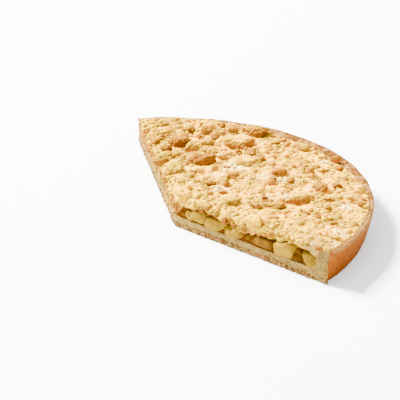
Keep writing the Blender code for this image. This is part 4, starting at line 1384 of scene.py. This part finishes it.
def build_stage(settings):
    """A plain pale floor, soft light from the upper left, a weak light from the right and the
    front, a pale room, and the camera."""
    mesh = bpy.data.meshes.new("floor")
    corners = np.array([(-1, -1, 0), (1, -1, 0), (1, 1, 0), (-1, 1, 0)]) * FLOOR_HALF_WIDTH
    mesh.from_pydata(corners.tolist(), [], [(0, 1, 2, 3)])
    material, add = start_material("pale_floor")
    colour = add.mix(add.noise(3), settings.floor, settings.floor_shade)
    set_shader(add, colour, roughness=0.9, gloss=0.05)
    mesh.materials.append(material)
    link("floor", mesh)
    turn = Matrix.Rotation(np.radians(CAMERA_AZIMUTH_DEG), 4, "Z")
    tilt = np.radians(CAMERA_ELEVATION_DEG)
    right = turn @ Vector((1, 0, 0))
    ahead = turn @ Vector((0, 1, 0))
    forward = turn @ Vector((0, np.cos(tilt), -np.sin(tilt)))
    up = turn @ Vector((0, np.sin(tilt), np.cos(tilt)))
    target = Vector((*CUTS_MEET_AT, 0)) + right * CAMERA_AIM_RIGHT + up * CAMERA_AIM_UP
    camera = link("camera", bpy.data.cameras.new("camera"))
    camera.data.lens = CAMERA_LENS
    camera.data.clip_end = 20
    camera.rotation_euler = Matrix((right, up, -forward)).transposed().to_euler()
    camera.location = target - forward * CAMERA_DISTANCE
    bpy.context.scene.camera = camera
    for name, way, size, power in (
        ("key", right * -1.5 + ahead * 1.0 + Vector((0, 0, 1.7)), 0.75, settings.key),
        ("fill", right * 0.9 - ahead * 1.0 + Vector((0, 0, 0.9)), 1.2, settings.fill),
    ):
        light = link(name, bpy.data.lights.new(name, "AREA"))
        light.data.shape = "SQUARE"
        light.data.size = size
        light.data.energy = power
        light.location = LIGHTS_AIM_AT + way
        light.rotation_euler = (-way).to_track_quat("-Z", "Y").to_euler()
    world = bpy.data.worlds.new("pale_room")
    world.use_nodes = True
    background = world.node_tree.nodes["Background"].inputs
    background["Color"].default_value = (1, 1, 1, 1)
    background["Strength"].default_value = settings.room
    bpy.context.scene.world = world


# Settings

def colour_setting(name, description, default):
    """A colour property with its default."""
    return bpy.props.FloatVectorProperty(name=name, description=description, default=default, size=3,
                                         subtype="COLOR", min=0, max=1)


def counts_setting(name, description, default):
    """A property with how many there are on the bed, on the rim and on the cuts."""
    return bpy.props.IntVectorProperty(name=name, description=description, default=default, size=3, min=0)


def number_setting(name, description, default, **more):
    """A number property with its default, which isn't under 0."""
    return bpy.props.FloatProperty(name=name, description=description, default=default, min=0, **more)


def length_setting(name, description, default):
    """A length property with its default, in metres."""
    return number_setting(name, description, default, unit="LENGTH", subtype="DISTANCE", precision=5)


def count_setting(name, description, default, least=0):
    """A whole number property with its default."""
    return bpy.props.IntProperty(name=name, description=description, default=default, min=least)


class PastrySettings(bpy.types.PropertyGroup):
    """Sizes and colours of the baked case."""

    step: length_setting("Step", "Distance between points round the case", 0.6 * MM)
    relief: length_setting("Relief", "Depth of the crumbly relief on the cuts", 0.42 * MM)
    crumbs_per_mm: number_setting("Crumbs", "Crumbs for each millimetre of cut", 7.0)
    wall: colour_setting("Wall", "The browned wall", (0.170, 0.0445, 0.0035))
    wall_deep: colour_setting("Wall, darkest", "The wall's pits and foot", (0.078, 0.019, 0.001))
    rim: colour_setting("Rim", "The rim's top", (0.24, 0.112, 0.028))
    rim_patch: colour_setting("Rim, browner", "The rim's browner patches", (0.085, 0.028, 0.004))
    dough: colour_setting("Dough", "The dough where it is cut", (0.228, 0.149, 0.032))
    dough_warm: colour_setting("Dough, warm", "The dough's darker grain", (0.120, 0.077, 0.018))
    # Also painted shade: the crease under the filling
    soaked_and_shaded: colour_setting("Dough, soaked", "The dough that has taken up glaze", (0.105, 0.050, 0.006))
    edge: colour_setting("Edge", "The browned grain along the bottom of the cuts", (0.045, 0.024, 0.007))


class FillingSettings(bpy.types.PropertyGroup):
    """Colours of the filling."""

    glaze: colour_setting("Glaze", "The glaze where it is thin", (0.066, 0.020, 0.001))
    # Painted shade: the colour of the glaze where it lies back in the hollows
    glaze_hollow_shade: colour_setting("Glaze, deep", "The glaze in the hollows", (0.031, 0.0078, 0.001))
    apple: colour_setting("Apple", "The apple's flesh", (0.200, 0.115, 0.002))
    # Also painted shade: the pieces' outlines and the sunken pieces in the gaps
    apple_browned_and_shaded: colour_setting("Apple, browned", "The flesh that has taken up glaze",
                                  (0.068, 0.0265, 0.0015))


class CrumbleSettings(bpy.types.PropertyGroup):
    """Sizes, counts and colours of the crumble."""

    columns: count_setting("Columns", "Profiles along the cuts", 430, 50)
    relief: length_setting("Relief", "Height of the bed's clods", 1.0 * MM)
    medium: counts_setting("Lumps", "Lumps of middle size on the bed, the rim and the cuts", (290, 0, 110))
    toasted: count_setting("Toasted lumps", "Toasted lumps at drawn spots", 330)
    small: counts_setting("Crumbs", "Crumbs a few millimetres wide", (2400, 150, 480))
    fine: counts_setting("Fine crumbs", "Crumbs about a millimetre wide", (9300, 700, 1700))
    grit: counts_setting("Grit", "Crumbs under a millimetre wide", (2600, 800, 900))
    sugar: number_setting("Sugar", "How much sugar lies on the crumble", 0.9, max=1)
    pale: colour_setting("Pale", "Crumble that has not coloured", (0.90, 0.43, 0.001))
    golden: colour_setting("Golden", "Crumble that is golden", (0.345, 0.195, 0.0075))
    orange: colour_setting("Orange", "Crumble that is toasted", (0.222, 0.093, 0.0035))
    brown: colour_setting("Brown", "Crumble that is toasted most", (0.132, 0.044, 0.005))
    sugar_colour: colour_setting("Sugar colour", "The dusting", (0.97, 0.68, 0.2))


class StageSettings(bpy.types.PropertyGroup):
    """Light and floor."""

    floor: colour_setting("Floor", "The floor", (0.93, 0.93, 0.93))
    floor_shade: colour_setting("Floor, darker", "The floor's faint cloudiness", (0.90, 0.90, 0.90))
    key: number_setting("Key light", "Power from the upper left", 910)
    fill: number_setting("Fill light", "Power from the right and the front", 8)
    room: number_setting("Room light", "Brightness of the pale room", 2.5)


class PieSettings(bpy.types.PropertyGroup):
    """All settings of the pie."""

    pastry: bpy.props.PointerProperty(type=PastrySettings)
    filling: bpy.props.PointerProperty(type=FillingSettings)
    crumble: bpy.props.PointerProperty(type=CrumbleSettings)
    stage: bpy.props.PointerProperty(type=StageSettings)


# Operators, one for each piece or group of like pieces

class BakeCase(bpy.types.Operator):
    """Build the baked shortcrust case"""

    bl_idname = "crumble_pie.bake_case"
    bl_label = "Baked case"

    def execute(self, context):
        build_case(context.scene.crumble_pie.pastry)
        return {"FINISHED"}


class CrumbCutFaces(bpy.types.Operator):
    """Put crumbs of dough on the case's cut faces"""

    bl_idname = "crumble_pie.crumb_cut_faces"
    bl_label = "Dough crumbs"

    def execute(self, context):
        build_cut_crumbs(context.scene.crumble_pie.pastry)
        return {"FINISHED"}


class PourGlaze(bpy.types.Operator):
    """Build the glazed core of the filling"""

    bl_idname = "crumble_pie.pour_glaze"
    bl_label = "Glazed filling"

    def execute(self, context):
        build_glaze(context.scene.crumble_pie.filling)
        return {"FINISHED"}


class CutApple(bpy.types.Operator):
    """Build the apple pieces that show at both cuts"""

    bl_idname = "crumble_pie.cut_apple"
    bl_label = "Apple pieces"

    def execute(self, context):
        build_apple(context.scene.crumble_pie.filling)
        return {"FINISHED"}


class SpreadCrumble(bpy.types.Operator):
    """Build the crumble's bed"""

    bl_idname = "crumble_pie.spread_crumble"
    bl_label = "Crumble bed"

    def execute(self, context):
        build_bed(context.scene.crumble_pie.crumble)
        return {"FINISHED"}


class DropLumps(bpy.types.Operator):
    """Build the large lumps and the toasted ones that stand out of the crumble"""

    bl_idname = "crumble_pie.drop_lumps"
    bl_label = "Large lumps"

    def execute(self, context):
        build_large_lumps(context.scene.crumble_pie.crumble)
        build_toasted_lumps(context.scene.crumble_pie.crumble)
        return {"FINISHED"}


class ScatterCrumbs(bpy.types.Operator):
    """Scatter lumps of middle size, crumbs, fine crumbs and grit over the bed"""

    bl_idname = "crumble_pie.scatter_crumbs"
    bl_label = "Crumbs"

    def execute(self, context):
        settings = context.scene.crumble_pie.crumble
        build_crumbs("medium_lumps", settings.medium, settings)
        build_crumbs("small_crumbs", settings.small, settings)
        build_crumbs("fine_crumbs", settings.fine, settings)
        build_crumbs("grit", settings.grit, settings)
        return {"FINISHED"}


class SetStage(bpy.types.Operator):
    """Set the floor, the light and the camera"""

    bl_idname = "crumble_pie.set_stage"
    bl_label = "Stage"

    def execute(self, context):
        build_stage(context.scene.crumble_pie.stage)
        return {"FINISHED"}


STEPS = (BakeCase, CrumbCutFaces, PourGlaze, CutApple, SpreadCrumble, DropLumps, ScatterCrumbs, SetStage)


class PiePanel(bpy.types.Panel):
    """The pie's pieces and settings in the sidebar"""

    bl_idname = "VIEW3D_PT_crumble_pie"
    bl_label = "Crumble pie"
    bl_space_type = "VIEW_3D"
    bl_region_type = "UI"
    bl_category = "Crumble pie"

    def draw(self, context):
        for step in STEPS:
            self.layout.operator(step.bl_idname)
        settings = context.scene.crumble_pie
        for group in (settings.pastry, settings.filling, settings.crumble, settings.stage):
            box = self.layout.box()
            for key in group.__annotations__:
                box.prop(group, key)


CLASSES = (PastrySettings, FillingSettings, CrumbleSettings, StageSettings, PieSettings, *STEPS, PiePanel)


def register():
    for one in CLASSES:
        bpy.utils.register_class(one)
    bpy.types.Scene.crumble_pie = bpy.props.PointerProperty(type=PieSettings)


def unregister():
    del bpy.types.Scene.crumble_pie
    for one in reversed(CLASSES):
        bpy.utils.unregister_class(one)


def main():
    register()
    bpy.ops.crumble_pie.bake_case()
    bpy.ops.crumble_pie.crumb_cut_faces()
    bpy.ops.crumble_pie.pour_glaze()
    bpy.ops.crumble_pie.cut_apple()
    bpy.ops.crumble_pie.spread_crumble()
    bpy.ops.crumble_pie.drop_lumps()
    bpy.ops.crumble_pie.scatter_crumbs()
    bpy.ops.crumble_pie.set_stage()


if __name__ == "__main__":
    main()
